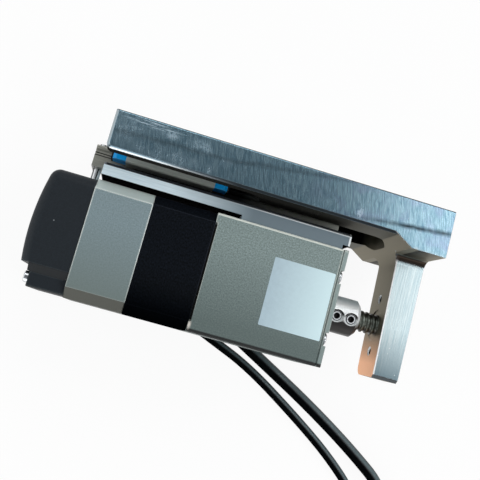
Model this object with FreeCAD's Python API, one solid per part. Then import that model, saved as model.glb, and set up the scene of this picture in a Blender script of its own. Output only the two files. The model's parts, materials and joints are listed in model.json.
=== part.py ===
import FreeCAD, Part
import math
import os

# An electric cylinder: a stepping motor whose hollow shaft turns a ball nut, so that the ball screw
# slides out of the front. A hook-shaped table bracket on a miniature linear guide is bolted to the
# screw's end and keeps it from turning. The part lies on its back, with its label side up.
# X runs along the screw towards its free end, Y points from the motor to the table, Z is up.
# The origin is on the screw axis, in the front face of the front flange. All sizes are in millimetres.

os.makedirs("parts", exist_ok=True)
V = FreeCAD.Vector
ALONG = V(1, 0, 0)
UP_TABLE = V(0, 1, 0)
UP = V(0, 0, 1)

# Fits and clearances
SEAT = 0.02          # radial gap of pieces that are pressed or screwed together
RUN = 0.05           # radial gap of a running fit
HOLE_GAP = 0.2       # radial gap of a screw in its clearance hole
OVER = 1.0           # how far a cutting tool runs past a face
HEAD_EDGE = 0.3      # broken edge of a screw's head or of a drilled hole

# Motor frame
FRAME = 42.0
FRAME_CHAMFER = 3.7
STATOR_CHAMFER = 3.5
HOUSING_BEVEL = 0.5
HOUSING_GAP_L = 0.7
HOUSING_GAP_DEPTH = 1.0
FLANGE_T = 2.0
HOUSING_L = 46.0
STATOR_L = 22.2
BRACKET_L = 20.3
COVER_L = 17.5
FLANGE_X = -FLANGE_T
HOUSING_X = FLANGE_X - HOUSING_L
STATOR_X = HOUSING_X - STATOR_L
BRACKET_X = STATOR_X - BRACKET_L
COVER_X = BRACKET_X - COVER_L
HALF = FRAME / 2

# Tie bolts that hold cover, bracket, stator and housing together
BOLT_LOWER_Y = -17.4
BOLT_UPPER_Y = 16.0
BOLT_Z = 16.0
BOLT_D = 2.5
BOLT_HEAD_D = 4.0
BOLT_HEAD_H = 1.6
BOLT_KEY = 1.5
BOLT_GRIP = 10.0
BOLT_END_X = HOUSING_X + BOLT_GRIP

# Rear cover
COVER_W = 41.2
COVER_WALL = 1.6
COVER_END_T = 3.6
COVER_EDGE_R = 4.0
COVER_END_R = 3.5
COVER_DOME_R = 86.0
LUG_L = 12.7
LUG_STEP_L = 13.6
LUG_STEP_Y = -15.3
LUG_LEDGE_Y = -12.7
LUG_BAND_Y = -15.5
LUG_SET_BACK = 2.2
LUG_INNER_Z = 12.0
HOOD_X0 = -105.5
HOOD_X1 = -98.5
HOOD_Y0 = -5.5
HOOD_Y1 = 12.0
HOOD_DEPTH = 6.0
HOOD_R = 1.5

# Rear bracket, with the rear bearing's seat in its wall
REAR_RECESS_D = 34.0
REAR_RECESS_L = 4.0
BRACKET_LIP_D = 17.0
BRACKET_LIP_L = 2.2
COIL_ROOM_D = 36.6
COIL_ROOM_L = 7.3

# Bearings
REAR_BORE = 12.0
REAR_OD = 21.0
REAR_W = 5.0
REAR_BALL_D = 3.0
REAR_RACE_GAP = 0.7
REAR_BALL_COUNT = 8
FRONT_BORE = 20.0
FRONT_OD = 32.0
FRONT_W = 7.0
FRONT_BALL_D = 4.0
FRONT_RACE_GAP = 0.8
FRONT_BALL_COUNT = 10
FRONT_ROW_COUNT = 2
CAGE_T = 0.7
CAGE_GAP = 0.3
WASHER_RISE = 0.8
WASHER_T = 0.3
WASHER_D = 20.4
WASHER_BORE = 15.4

# Stator and rotor
STATOR_BORE = 26.6
SLOT_D = 36.0
POLE_COUNT = 8
POLE_W = 6.0
COIL_W = 10.0
COIL_INNER_D = 29.6
COIL_OUTER_D = 35.0
COIL_OVERHANG = 4.0
COIL_GAP = 0.05
ROTOR_D = 26.0
ROTOR_CORE_L = 9.0
ROTOR_MAGNET_L = 3.0
ROTOR_MAGNET_D = 24.0

# Hollow shaft with the nut cup at its front end
SHAFT_D = 14.0
SHAFT_BORE = 8.6
SHAFT_REAR_X = -91.0
CUP_L = 36.0
CUP_FRONT_X = -4.0
CUP_FLOOR_T = 2.0
SHOULDER_D = 23.0
SHOULDER_L = 3.0
PLUG_STEM_L = 4.0
PLUG_HEAD_D = 10.0
PLUG_HEAD_T = 1.0
MAGNET_D = 8.0
MAGNET_T = 2.5
LOCK_NUT_WALL = 3.5
LOCK_NUT_D = FRONT_BORE + 2 * LOCK_NUT_WALL
LOCK_NUT_T = 4.0
LOCK_NUT_SLOT_COUNT = 4
LOCK_NUT_SLOT = 4.0
LOCK_NUT_SLOT_DEPTH = 1.5

# Encoder
BOARD_D = 29.0
BOARD_T = 1.6
CHIP_W = 5.0
CHIP_T = 1.0
CHIP_GAP = 0.6
STANDOFF_D = 4.0
STANDOFF_PITCH_D = 23.6
STANDOFF_COUNT = 3
BOARD_SCREW_D = 1.6
BOARD_SCREW_L = 5.0
BOARD_SCREW_HEAD_D = 3.0
BOARD_SCREW_HEAD_H = 1.2
SOCKET_L = 9.0
SOCKET_W = 4.0
SOCKET_H = 3.5
SOCKET_Y = 6.0

# Ball screw, nut and screw end
SCREW_D = 8.0
SCREW_REAR_X = -84.0
SCREW_END_BEVEL = 0.8
SPIGOT_D = 5.0
SPIGOT_L = 9.4
NUT_D = 16.0
NUT_L = 16.0
NUT_CAP_L = 3.0
NUT_CAP_BORE = 8.8
NUT_RING_L = 2.5
NUT_RING_BORE = 10.0
END_NUT_AF = 8.0
END_NUT_T = 4.0
END_NUT_SEAT_D = 10.4
END_NUT_SINK = 4.5

# Front flange
FLANGE_BEVEL = 0.4
FLANGE_GROOVE = 0.5
FLANGE_BORE = 13.0
CLAMP_GAP = 0.7
CLAMP_BORE = LOCK_NUT_D + 2 * CLAMP_GAP
FLANGE_SCREW_Y = 11.15
FLANGE_SCREW_Z = 18.5
FLANGE_SCREW_D = 2.5
FLANGE_SCREW_L = 7.0
FLANGE_SCREW_HEAD_D = 4.3
FLANGE_SCREW_HEAD_H = 1.1
FLANGE_SCREW_KEY = 1.5
FLANGE_NOTCH_W = 4.7
FLANGE_NOTCH_DEPTH = 1.2
MOUNT_PITCH = 31.0
MOUNT_HOLE_D = 3.3
MOUNT_HOLE_L = 12.0
WIPER_BORE = 8.6
WIPER_T = 1.6
WIPER_LIP_T = 0.9
WIPER_LIP_D = 10.0

# Guide plate
PLATE_X0 = -90.0
PLATE_X1 = 0.0
PLATE_W = 40.0
PLATE_Y0 = 22.6
PLATE_T = 4.5
PLATE_TOP = PLATE_Y0 + PLATE_T
PLATE_BEVEL = 1.0
PLATE_FOOT_X0 = -39.8
PLATE_FOOT_X1 = -2.5
PLATE_SCREW_INSET = 6.5
PLATE_SCREW_PITCH_Z = 26.0
M3 = 3.0
M3_HEAD_D = 5.5
M3_HEAD_H = 3.0
M3_FLAT_HEAD_D = 5.6
M3_KEY = 2.5
M3_FLAT_KEY = 2.0
PLATE_SCREW_L = 10.0

# Guide rail
RAIL_X0 = -95.4
RAIL_X1 = -2.0
RAIL_W = 12.0
RAIL_H = 8.0
RAIL_BASE_H = 4.1
RAIL_RACE_H = 2.6
RAIL_RACE_DEPTH = 0.8
RAIL_EDGE = 0.4
RAIL_TOP = PLATE_TOP + RAIL_H
RAIL_HOLE_PITCH = 25.0
RAIL_HOLE_COUNT = 4
RAIL_HOLE_X0 = -82.0
RAIL_SINK_D = 6.0
RAIL_SINK = 4.5
RAIL_SCREW_L = 7.5
STOP_X = -93.4
STOP_DROP = 5.3
STOP_RISE = 1.4

# Guide block, with blue end caps and end seals
BLOCK_L = 32.4
BLOCK_X0 = -83.7
BLOCK_W = 27.0
BLOCK_LIFT = 3.0
BLOCK_H = 10.0
BLOCK_Y0 = PLATE_TOP + BLOCK_LIFT
BLOCK_TOP = BLOCK_Y0 + BLOCK_H
BLOCK_EDGE = 0.5
BLOCK_GAP = 0.35
CAP_L = 4.8
CAP_INSET = 0.4
CAP_GAP = 0.5
CAP_EDGE = 1.2
SEAL_T = 0.6
SEAL_GAP = 0.3
CAP_SCREW_D = 2.0
CAP_SCREW_L = 8.0
CAP_SCREW_HEAD_D = 3.6
CAP_SCREW_HEAD_H = 1.2
CAP_SCREW_INSET = 3.5
CAP_SCREW_KEY = 1.3
BLOCK_HOLE_PITCH = 20.0
BLOCK_SCREW_L = 7.5

# Hook-shaped table bracket
BAR_X0 = -90.6
BAR_W = 55.0
BAR_Y0 = 30.4
BAR_T = 13.6
BAR_TOP = BAR_Y0 + BAR_T
BAR_CORNER_R = 1.8
BAR_LOWER_EDGE = 0.9
BAR_UPPER_EDGE = 0.4
PAD_DROP = 3.4
PAD_SLOPE_X0 = 14.0
PAD_SLOPE_L = 5.6
ARM_X1 = 32.4
ARM_ROOT_T = 11.1
ARM_TIP_T = 9.7
ARM_W = 18.6
ARM_TIP_Y = -19.3
ARM_TIP_BEVEL = 1.2
ARM_TIP_R = 3.5
ARM_ROOT_R = 3.6
ARM_HEEL_R = 6.0
SEAT_FACE_D = 12.0
SEAT_FACE_X = 22.4
SLOT_W = 24.0
SLOT_X1 = 17.0
SLOT_R = 8.0
SLOT_ROOF_GAP = 1.0
POCKET_W = 43.4
POCKET_X1 = -34.5
POCKET_R = 6.0
TOOL_HOLE_D = 2.5
TOOL_HOLE_EDGE = 0.5
TOOL_HOLE_PITCH = 20.0

# Stop collar on the screw
COLLAR_D = 14.0
COLLAR_X0 = 0.8
COLLAR_L = 13.5
COLLAR_BEVEL = 1.3
SET_SCREW_X = (5.3, 10.8)
SET_SCREW_D = 4.0
SET_SCREW_L = 2.5
SET_SCREW_KEY = 2.0
SET_SCREW_SINK_D = 4.8
SET_SCREW_TILT = 8.0

# Cables, their boots and connectors. The floor lies under the table bracket's back face.
FLOOR_Z = -BAR_W / 2
MOTOR_CABLE_D = 4.8
ENCODER_CABLE_D = 3.6
MOTOR_FLOOR_Z = FLOOR_Z + MOTOR_CABLE_D / 2
ENCODER_FLOOR_Z = FLOOR_Z + ENCODER_CABLE_D / 2
BOOT_L = 6.5
BOOT_WALL = 0.35
BOOT_FLARE = 0.3
CORNER_SHARE = 0.45
MOTOR_ROUTE = [
    V(-93.5, 7.2, -23.6),
    V(-80.0, 4.2, -24.8),
    V(-59.0, -2.2, MOTOR_FLOOR_Z),
    V(-34.5, -12.2, MOTOR_FLOOR_Z),
    V(-10.0, -24.9, MOTOR_FLOOR_Z),
    V(11.0, -36.0, MOTOR_FLOOR_Z),
    V(32.0, -48.5, MOTOR_FLOOR_Z),
    V(51.0, -61.8, MOTOR_FLOOR_Z),
    V(57.2, -85.0, MOTOR_FLOOR_Z),
    V(45.2, -105.8, MOTOR_FLOOR_Z),
    V(22.0, -112.0, MOTOR_FLOOR_Z),
    V(2.0, -112.0, MOTOR_FLOOR_Z),
]
ENCODER_ROUTE = [
    V(-93.5, -1.6, -23.8),
    V(-80.0, -4.6, -25.2),
    V(-59.0, -11.0, ENCODER_FLOOR_Z),
    V(-33.5, -20.9, ENCODER_FLOOR_Z),
    V(-16.0, -27.9, ENCODER_FLOOR_Z),
    V(6.0, -41.2, ENCODER_FLOOR_Z),
    V(24.5, -53.6, ENCODER_FLOOR_Z),
    V(39.0, -66.5, ENCODER_FLOOR_Z),
    V(41.6, -81.3, ENCODER_FLOOR_Z),
    V(34.1, -94.3, ENCODER_FLOOR_Z),
    V(20.0, -99.4, ENCODER_FLOOR_Z),
    V(6.0, -99.4, ENCODER_FLOOR_Z),
]
MOTOR_PLUG = V(20.0, 11.0, 8.0)
MOTOR_PIN_COUNT = (3, 2)
ENCODER_PLUG = V(16.0, 9.0, 6.0)
ENCODER_PIN_COUNT = (4, 2)
PIN_HOLE = 1.5
PIN_HOLE_L = 8.0
PIN_W = 0.9
LATCH_L = 9.0
LATCH_W = 4.0
LATCH_H = 1.6


def export(name, solids):
    """Write one node: a single solid, or a group of separate ones."""
    shape = solids[0] if len(solids) == 1 else Part.makeCompound(solids)
    shape.exportStep("parts/" + name + ".step")
    print(name, "solids", len(solids), "valid", shape.isValid(), "volume", round(shape.Volume, 1))


def rod(diameter, x0, x1, y=0.0, z=0.0):
    return Part.makeCylinder(diameter / 2, x1 - x0, V(x0, y, z), ALONG)


def ring(outer, inner, x0, x1):
    return rod(outer, x0, x1).cut(rod(inner, x0 - OVER, x1 + OVER))


def box(x0, x1, y0, y1, z0, z1):
    return Part.makeBox(x1 - x0, y1 - y0, z1 - z0, V(x0, y0, z0))


def prism_x(points, x0, x1):
    """Extrude a closed outline of (y, z) corners along X."""
    corners = [V(x0, y, z) for y, z in points]
    return Part.Face(Part.makePolygon(corners + corners[:1])).extrude(V(x1 - x0, 0, 0))


def prism_z(points, z0, z1):
    """Extrude a closed outline of (x, y) corners along Z."""
    corners = [V(x, y, z0) for x, y in points]
    return Part.Face(Part.makePolygon(corners + corners[:1])).extrude(V(0, 0, z1 - z0))


def revolve(points):
    """Turn a closed outline of (x, radius) corners about the screw axis."""
    corners = [V(x, r, 0) for x, r in points]
    return Part.Face(Part.makePolygon(corners + corners[:1])).revolve(V(0, 0, 0), ALONG, 360)


def cut_square(width, chamfer, x0, x1):
    """A square bar along X with its long edges cut off at 45 degrees."""
    half = width / 2
    flat = half - chamfer
    outline = [(-flat, -half), (flat, -half), (half, -flat), (half, flat)]
    outline += [(flat, half), (-flat, half), (-half, flat), (-half, -flat)]
    return prism_x(outline, x0, x1)


def mirrored_z(shape):
    return shape.mirror(V(0, 0, 0), UP)


def straight_edges(shape, direction, test):
    """The straight edges of a shape along one direction whose middle passes a test."""
    found = []
    for edge in shape.Edges:
        if edge.Curve.TypeId == "Part::GeomLine":
            if abs(abs(edge.tangentAt(edge.FirstParameter).dot(direction)) - 1) < 1e-6:
                if test(edge.CenterOfMass):
                    found.append(edge)
    return found


def key_hole(across, depth):
    """A hexagon socket that opens at x = 0 and is sunk along +X."""
    radius = across / math.sqrt(3)
    corners = [(radius * math.cos(math.radians(60 * i)), radius * math.sin(math.radians(60 * i)))
               for i in range(6)]
    return prism_x(corners, -OVER, depth)


def placed(shape, at, direction):
    """Set a shape drawn along +X at a point, along a direction."""
    moved = shape.copy()
    moved.Placement = FreeCAD.Placement(at, FreeCAD.Rotation(ALONG, direction))
    return moved


def cap_screw(at, direction, thread, length, head_d, head_h, key):
    """A cylinder-head screw. Its head's underside sits at the point, its shank runs along the direction."""
    outline = [(-head_h, 0), (-head_h, head_d / 2 - HEAD_EDGE), (HEAD_EDGE - head_h, head_d / 2),
               (0, head_d / 2), (0, thread / 2), (length, thread / 2), (length, 0)]
    body = revolve(outline)
    socket = key_hole(key, head_h / 2)
    socket.translate(V(-head_h, 0, 0))
    return placed(body.cut(socket), at, direction)


def flat_screw(at, direction, thread, length, head_d, key):
    """A countersunk screw. Its head's top lies at the point, its shank runs along the direction."""
    sink = (head_d - thread) / 2
    outline = [(0, 0), (0, head_d / 2), (sink, thread / 2), (length, thread / 2), (length, 0)]
    return placed(revolve(outline).cut(key_hole(key, sink)), at, direction)


def hole(at, direction, diameter, length):
    return Part.makeCylinder(diameter / 2, length, at, direction)


def flat_seat(at, direction, thread, length, head_d):
    """The room for a countersunk screw: a straight hole and a cone, a little larger than the screw."""
    sink = (head_d - thread) / 2
    shank = thread / 2 + SEAT
    outline = [(0, 0), (0, head_d / 2 + SEAT), (sink, shank), (length, shank), (length, 0)]
    return placed(revolve(outline), at, direction)


def cut_all(shape, tools):
    for tool in tools:
        shape = shape.cut(tool)
    return shape


def corners_of(pitch_y, pitch_z):
    return [(sy * pitch_y / 2, sz * pitch_z / 2) for sy in (-1, 1) for sz in (-1, 1)]


# Tie bolts: the two lower ones hold the cover too, the two upper ones start under it.
LUG_X = BRACKET_X - LUG_L
bolt_places = [(y, s * BOLT_Z) for y in (BOLT_LOWER_Y, BOLT_UPPER_Y) for s in (-1, 1)]
long_bolts = []
short_bolts = []
for y, z in bolt_places:
    head_x = LUG_X if y < 0 else BRACKET_X
    bolt = cap_screw(V(head_x, y, z), ALONG, BOLT_D, BOLT_END_X - head_x, BOLT_HEAD_D, BOLT_HEAD_H, BOLT_KEY)
    (long_bolts if y < 0 else short_bolts).append(bolt)
bolt_holes = [rod(BOLT_D + 2 * HOLE_GAP, COVER_X - OVER, HOUSING_X, y, z) for y, z in bolt_places]
bolt_threads = [rod(BOLT_D + 2 * SEAT, HOUSING_X - OVER, BOLT_END_X + OVER, y, z) for y, z in bolt_places]
export("tie_bolts_long", long_bolts)
export("tie_bolts_short", short_bolts)


# Cable cords: straight runs joined by tangent arcs
def cord(name, points, diameter):
    edges = []
    radii = []
    start = points[0]
    for before, corner, after in zip(points, points[1:], points[2:]):
        u = (corner - before).normalize()
        v = (after - corner).normalize()
        half_turn = u.getAngle(v) / 2
        run = CORNER_SHARE * min((corner - before).Length, (after - corner).Length)
        radius = run / math.tan(half_turn)
        inward = (v - u).normalize()
        centre = corner + inward * (radius / math.cos(half_turn))
        first = corner - u * run
        last = corner + v * run
        edges.append(Part.makeLine(start, first))
        edges.append(Part.Arc(first, centre - inward * radius, last).toShape())
        radii.append(round(radius, 1))
        start = last
    edges.append(Part.makeLine(start, points[-1]))
    path = Part.Wire(edges)
    section = Part.Wire([Part.makeCircle(diameter / 2, points[0], points[1] - points[0])])
    tube = path.makePipeShell([section], True, False)
    share = tube.Volume / (math.pi * diameter ** 2 / 4 * path.Length)
    print(name, "length", round(path.Length, 1), "bend radii", radii, "volume share", round(share, 4))
    export(name, [tube])


cord("motor_cable", MOTOR_ROUTE, MOTOR_CABLE_D)
cord("encoder_cable", ENCODER_ROUTE, ENCODER_CABLE_D)


def boot(route, diameter, extra=0.0):
    """A tapered rubber sleeve that ends where its cable starts, along the cable's first run."""
    back = (route[0] - route[1]).normalize()
    small = diameter / 2 + BOOT_WALL + extra
    return Part.makeCone(small, small + BOOT_FLARE, BOOT_L, route[0], back)


motor_boot = boot(MOTOR_ROUTE, MOTOR_CABLE_D)
encoder_boot = boot(ENCODER_ROUTE, ENCODER_CABLE_D)
export("motor_cable_boot", [motor_boot])
export("encoder_cable_boot", [encoder_boot])


def plug(name, route, size, pins):
    """A rectangular plug housing whose back face meets the cable's end, with its metal contacts."""
    end = route[-1]
    x0 = end.x - size.x
    low = FLOOR_Z
    mid_z = low + size.z / 2
    body = box(x0, end.x, end.y - size.y / 2, end.y + size.y / 2, low, low + size.z)
    latch_x0 = x0 + size.x / 2 - LATCH_L / 2
    top = low + size.z
    latch = box(latch_x0, latch_x0 + LATCH_L, end.y - LATCH_W / 2, end.y + LATCH_W / 2, top, top + LATCH_H)
    front_edge = straight_edges(latch, UP_TABLE, lambda c: c.z > top + SEAT and c.x < latch_x0 + SEAT)
    latch = latch.makeChamfer(LATCH_H / 2, front_edge)
    body = body.fuse(latch).removeSplitter()
    columns, rows = pins
    contacts = []
    for i in range(columns):
        for j in range(rows):
            y = end.y + (i - (columns - 1) / 2) * size.y / (columns + 1)
            z = mid_z + (j - (rows - 1) / 2) * size.z / (rows + 1)
            half = PIN_HOLE / 2
            body = body.cut(box(x0 - OVER, x0 + PIN_HOLE_L, y - half, y + half, z - half, z + half))
            thick = PIN_W / 2
            contacts.append(box(x0 + OVER, x0 + PIN_HOLE_L, y - thick, y + thick, z - thick, z + thick))
    export(name, [body])
    export(name + "_contacts", contacts)


plug("motor_plug", MOTOR_ROUTE, MOTOR_PLUG, MOTOR_PIN_COUNT)
plug("encoder_plug", ENCODER_ROUTE, ENCODER_PLUG, ENCODER_PIN_COUNT)

# Rear cover: a domed moulding with a step along its lower end for two bolts, and a hood for the cables
side = COVER_W / 2
outer = box(COVER_X, BRACKET_X, -side, side, -side, side)
outer = outer.makeFillet(COVER_EDGE_R, straight_edges(outer, ALONG, lambda c: True))
dome = hole(V(COVER_X + COVER_DOME_R, 0, -FRAME), UP, 2 * COVER_DOME_R, 2 * FRAME)
outer = outer.common(dome)
rim = [f for f in outer.Faces if f.Surface.TypeId == "Part::GeomCylinder" and f.Surface.Radius > FRAME][0]
outer = outer.makeFillet(COVER_END_R, rim.Edges)
inside = side - COVER_WALL
cavity = box(COVER_X + COVER_END_T, BRACKET_X + OVER, -inside, inside, -inside, inside)
cavity = cavity.makeFillet(COVER_EDGE_R - COVER_WALL, straight_edges(cavity, ALONG, lambda c: True))
post = box(COVER_X, BRACKET_X + OVER, -FRAME, LUG_LEDGE_Y + COVER_WALL, LUG_INNER_Z - COVER_WALL, FRAME)
relief = box(COVER_X - OVER, BRACKET_X - LUG_STEP_L, -FRAME, LUG_LEDGE_Y, -FRAME, FRAME)
relief = relief.fuse(box(COVER_X - OVER, LUG_X, -FRAME, LUG_STEP_Y, -FRAME, FRAME)).removeSplitter()
relief_wall = box(COVER_X, LUG_X + COVER_WALL, -FRAME, LUG_LEDGE_Y + COVER_WALL, -FRAME, FRAME)
band = [(LUG_LEDGE_Y, side), (LUG_BAND_Y, side - LUG_SET_BACK), (-FRAME, side - LUG_SET_BACK),
        (-FRAME, FRAME), (LUG_LEDGE_Y, FRAME)]
flat = prism_x(band, COVER_X - OVER, BRACKET_X + OVER)
cavity = cut_all(cavity, [post, mirrored_z(post), relief_wall])
cover = cut_all(outer, [cavity, relief, flat, mirrored_z(flat)])
hood = box(HOOD_X0, HOOD_X1, HOOD_Y0, HOOD_Y1, -side - HOOD_DEPTH, -side + COVER_WALL)
hood = hood.makeFillet(HOOD_R, straight_edges(hood, UP_TABLE, lambda c: c.z < -side and c.x < HOOD_X0 + SEAT)
                       + straight_edges(hood, ALONG, lambda c: c.z < -side))
cover = cover.fuse(hood).removeSplitter()
boot_seats = [boot(MOTOR_ROUTE, MOTOR_CABLE_D, SEAT), boot(ENCODER_ROUTE, ENCODER_CABLE_D, SEAT)]
lower_holes = [tool for tool, place in zip(bolt_holes, bolt_places) if place[0] < 0]
cover = cut_all(cover, lower_holes + boot_seats)
export("rear_cover", [cover])

# Rear bracket: a casting with the encoder's recess behind its wall and room for the coils before it
SEAT_X0 = BRACKET_X + REAR_RECESS_L + BRACKET_LIP_L
ROOM_X = STATOR_X - COIL_ROOM_L
REAR_X0 = SEAT_X0 + WASHER_RISE
REAR_X1 = REAR_X0 + REAR_W
bracket = cut_square(FRAME, FRAME_CHAMFER, BRACKET_X, STATOR_X)
bracket = cut_all(bracket, [
    rod(REAR_RECESS_D, BRACKET_X - OVER, BRACKET_X + REAR_RECESS_L),
    rod(BRACKET_LIP_D, BRACKET_X, STATOR_X),
    rod(REAR_OD + 2 * SEAT, SEAT_X0, STATOR_X),
    rod(COIL_ROOM_D, ROOM_X, STATOR_X + OVER),
])
export("rear_bracket", [cut_all(bracket, bolt_holes)])

# Preload washer behind the rear bearing's outer ring
washer = revolve([
    (SEAT_X0, WASHER_BORE / 2),
    (SEAT_X0 + WASHER_T, WASHER_BORE / 2),
    (REAR_X0, WASHER_D / 2),
    (REAR_X0 - WASHER_T, WASHER_D / 2),
])
export("preload_washer", [washer])


# Ball bearings: an outer ring, an inner ring, balls in the races between them and a cage ring
def bearing(outer_d, bore, x0, width, ball_d, gap, count):
    pitch_d = (outer_d + bore) / 2
    cage_h = 2 * (gap - CAGE_GAP)
    mid = x0 + width / 2
    race = Part.makeTorus(pitch_d / 2, ball_d / 2 + RUN, V(mid, 0, 0), ALONG)
    outer_ring = ring(outer_d, pitch_d + 2 * gap, x0, x0 + width).cut(race)
    inner_ring = ring(pitch_d - 2 * gap, bore + 2 * SEAT, x0, x0 + width).cut(race)
    balls = []
    for i in range(count):
        angle = math.radians(360 / count * i)
        at = V(mid, pitch_d / 2 * math.cos(angle), pitch_d / 2 * math.sin(angle))
        balls.append(Part.makeSphere(ball_d / 2, at))
    cage_x = x0 + width - CAGE_T
    cage = ring(pitch_d + cage_h, pitch_d - cage_h, cage_x, cage_x + CAGE_T)
    cage = cage.fuse([rod(CAGE_T, mid, cage_x + SEAT, pitch_d / 2 * math.cos(a), pitch_d / 2 * math.sin(a))
                      for a in [math.radians(360 / count * (i + 0.5)) for i in range(count)]]).removeSplitter()
    return outer_ring, inner_ring, balls, cage


rear_outer, rear_inner, rear_balls, rear_cage = bearing(
    REAR_OD, REAR_BORE, REAR_X0, REAR_W, REAR_BALL_D, REAR_RACE_GAP, REAR_BALL_COUNT)
export("rear_bearing_outer_ring", [rear_outer])
export("rear_bearing_inner_ring", [rear_inner])
export("rear_bearing_balls", rear_balls)
export("rear_bearing_cage", [rear_cage])

FRONT_X1 = CUP_FRONT_X - LOCK_NUT_T
FRONT_X0 = FRONT_X1 - FRONT_ROW_COUNT * FRONT_W
front_sets = [
    bearing(FRONT_OD, FRONT_BORE, FRONT_X0 + row * FRONT_W, FRONT_W,
            FRONT_BALL_D, FRONT_RACE_GAP, FRONT_BALL_COUNT)
    for row in range(FRONT_ROW_COUNT)
]
export("front_bearing_outer_rings", [s[0] for s in front_sets])
export("front_bearing_inner_rings", [s[1] for s in front_sets])
export("front_bearing_balls", [ball for s in front_sets for ball in s[2]])
export("front_bearing_cages", [s[3] for s in front_sets])

# Stator: a square stack with eight poles, and a coil round each pole
stator = cut_square(FRAME, STATOR_CHAMFER, STATOR_X, HOUSING_X)
stator = stator.cut(rod(SLOT_D, STATOR_X - OVER, HOUSING_X + OVER))
poles = []
coils = []
for i in range(POLE_COUNT):
    pole = box(STATOR_X, HOUSING_X, STATOR_BORE / 2 - OVER, SLOT_D / 2 + OVER, -POLE_W / 2, POLE_W / 2)
    coil = box(STATOR_X - COIL_OVERHANG, HOUSING_X + COIL_OVERHANG,
               COIL_INNER_D / 2, COIL_OUTER_D / 2, -COIL_W / 2, COIL_W / 2)
    coil = coil.common(rod(COIL_OUTER_D, STATOR_X - 2 * COIL_OVERHANG, HOUSING_X + 2 * COIL_OVERHANG))
    core_y = FRAME
    core_z = POLE_W / 2 + COIL_GAP
    coil = coil.cut(box(STATOR_X - COIL_GAP, HOUSING_X + COIL_GAP, 0, core_y, -core_z, core_z))
    turn = 360 / POLE_COUNT * i
    poles.append(pole.rotate(V(0, 0, 0), ALONG, turn))
    coils.append(coil.rotate(V(0, 0, 0), ALONG, turn))
stator = stator.fuse(poles).cut(rod(STATOR_BORE, STATOR_X - OVER, HOUSING_X + OVER)).removeSplitter()
export("stator_core", [cut_all(stator, bolt_holes)])
export("stator_coils", coils)

# Rotor: two cores with a disc magnet between them, on the hollow shaft
ROTOR_L = 2 * ROTOR_CORE_L + ROTOR_MAGNET_L
ROTOR_X0 = STATOR_X + (STATOR_L - ROTOR_L) / 2
MAGNET_X0 = ROTOR_X0 + ROTOR_CORE_L
CORE2_X0 = MAGNET_X0 + ROTOR_MAGNET_L
rotor_bore = SHAFT_D + 2 * SEAT
export("rotor_core_rear", [ring(ROTOR_D, rotor_bore, ROTOR_X0, MAGNET_X0)])
export("rotor_magnet", [ring(ROTOR_MAGNET_D, rotor_bore, MAGNET_X0, CORE2_X0)])
export("rotor_core_front", [ring(ROTOR_D, rotor_bore, CORE2_X0, CORE2_X0 + ROTOR_CORE_L)])

CUP_X0 = CUP_FRONT_X - CUP_L
CUP_FLOOR_X = CUP_X0 + CUP_FLOOR_T
shaft = revolve([
    (SHAFT_REAR_X, SHAFT_BORE / 2),
    (SHAFT_REAR_X, REAR_BORE / 2),
    (REAR_X1, REAR_BORE / 2),
    (REAR_X1, SHAFT_D / 2),
    (CUP_X0, SHAFT_D / 2),
    (CUP_X0, FRONT_BORE / 2),
    (FRONT_X0 - SHOULDER_L, FRONT_BORE / 2),
    (FRONT_X0 - SHOULDER_L, SHOULDER_D / 2),
    (FRONT_X0, SHOULDER_D / 2),
    (FRONT_X0, FRONT_BORE / 2),
    (CUP_FRONT_X, FRONT_BORE / 2),
    (CUP_FRONT_X, NUT_D / 2 + SEAT),
    (CUP_FLOOR_X, NUT_D / 2 + SEAT),
    (CUP_FLOOR_X, SHAFT_BORE / 2),
])
export("hollow_shaft", [shaft])

shaft_plug = rod(SHAFT_BORE - 2 * SEAT, SHAFT_REAR_X, SHAFT_REAR_X + PLUG_STEM_L)
shaft_plug = shaft_plug.fuse(rod(PLUG_HEAD_D, SHAFT_REAR_X - PLUG_HEAD_T, SHAFT_REAR_X)).removeSplitter()
export("shaft_end_plug", [shaft_plug])
MAGNET_BACK_X = SHAFT_REAR_X - PLUG_HEAD_T - MAGNET_T
export("encoder_magnet", [rod(MAGNET_D, MAGNET_BACK_X, MAGNET_BACK_X + MAGNET_T)])

lock_nut = ring(LOCK_NUT_D, FRONT_BORE + 2 * SEAT, FRONT_X1, FRONT_X1 + LOCK_NUT_T)
for i in range(LOCK_NUT_SLOT_COUNT):
    slot = box(FRONT_X1 - OVER, FRONT_X1 + LOCK_NUT_T + OVER, LOCK_NUT_D / 2 - LOCK_NUT_SLOT_DEPTH, LOCK_NUT_D,
               -LOCK_NUT_SLOT / 2, LOCK_NUT_SLOT / 2)
    lock_nut = lock_nut.cut(slot.rotate(V(0, 0, 0), ALONG, 360 / LOCK_NUT_SLOT_COUNT * i))
export("bearing_lock_nut", [lock_nut])

# Ball nut in the shaft's cup: body, return caps at both ends and the ring that holds it in
NUT_CAP_X0 = CUP_FLOOR_X
NUT_X0 = NUT_CAP_X0 + NUT_CAP_L
NUT_X1 = NUT_X0 + NUT_L
NUT_RING_X0 = NUT_X1 + NUT_CAP_L
export("ball_nut", [ring(NUT_D, SCREW_D + 2 * RUN, NUT_X0, NUT_X1)])
export("ball_nut_caps", [
    ring(NUT_D, NUT_CAP_BORE, NUT_CAP_X0, NUT_X0),
    ring(NUT_D, NUT_CAP_BORE, NUT_X1, NUT_RING_X0),
])
export("nut_retaining_ring", [ring(NUT_D, NUT_RING_BORE, NUT_RING_X0, NUT_RING_X0 + NUT_RING_L)])

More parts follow.
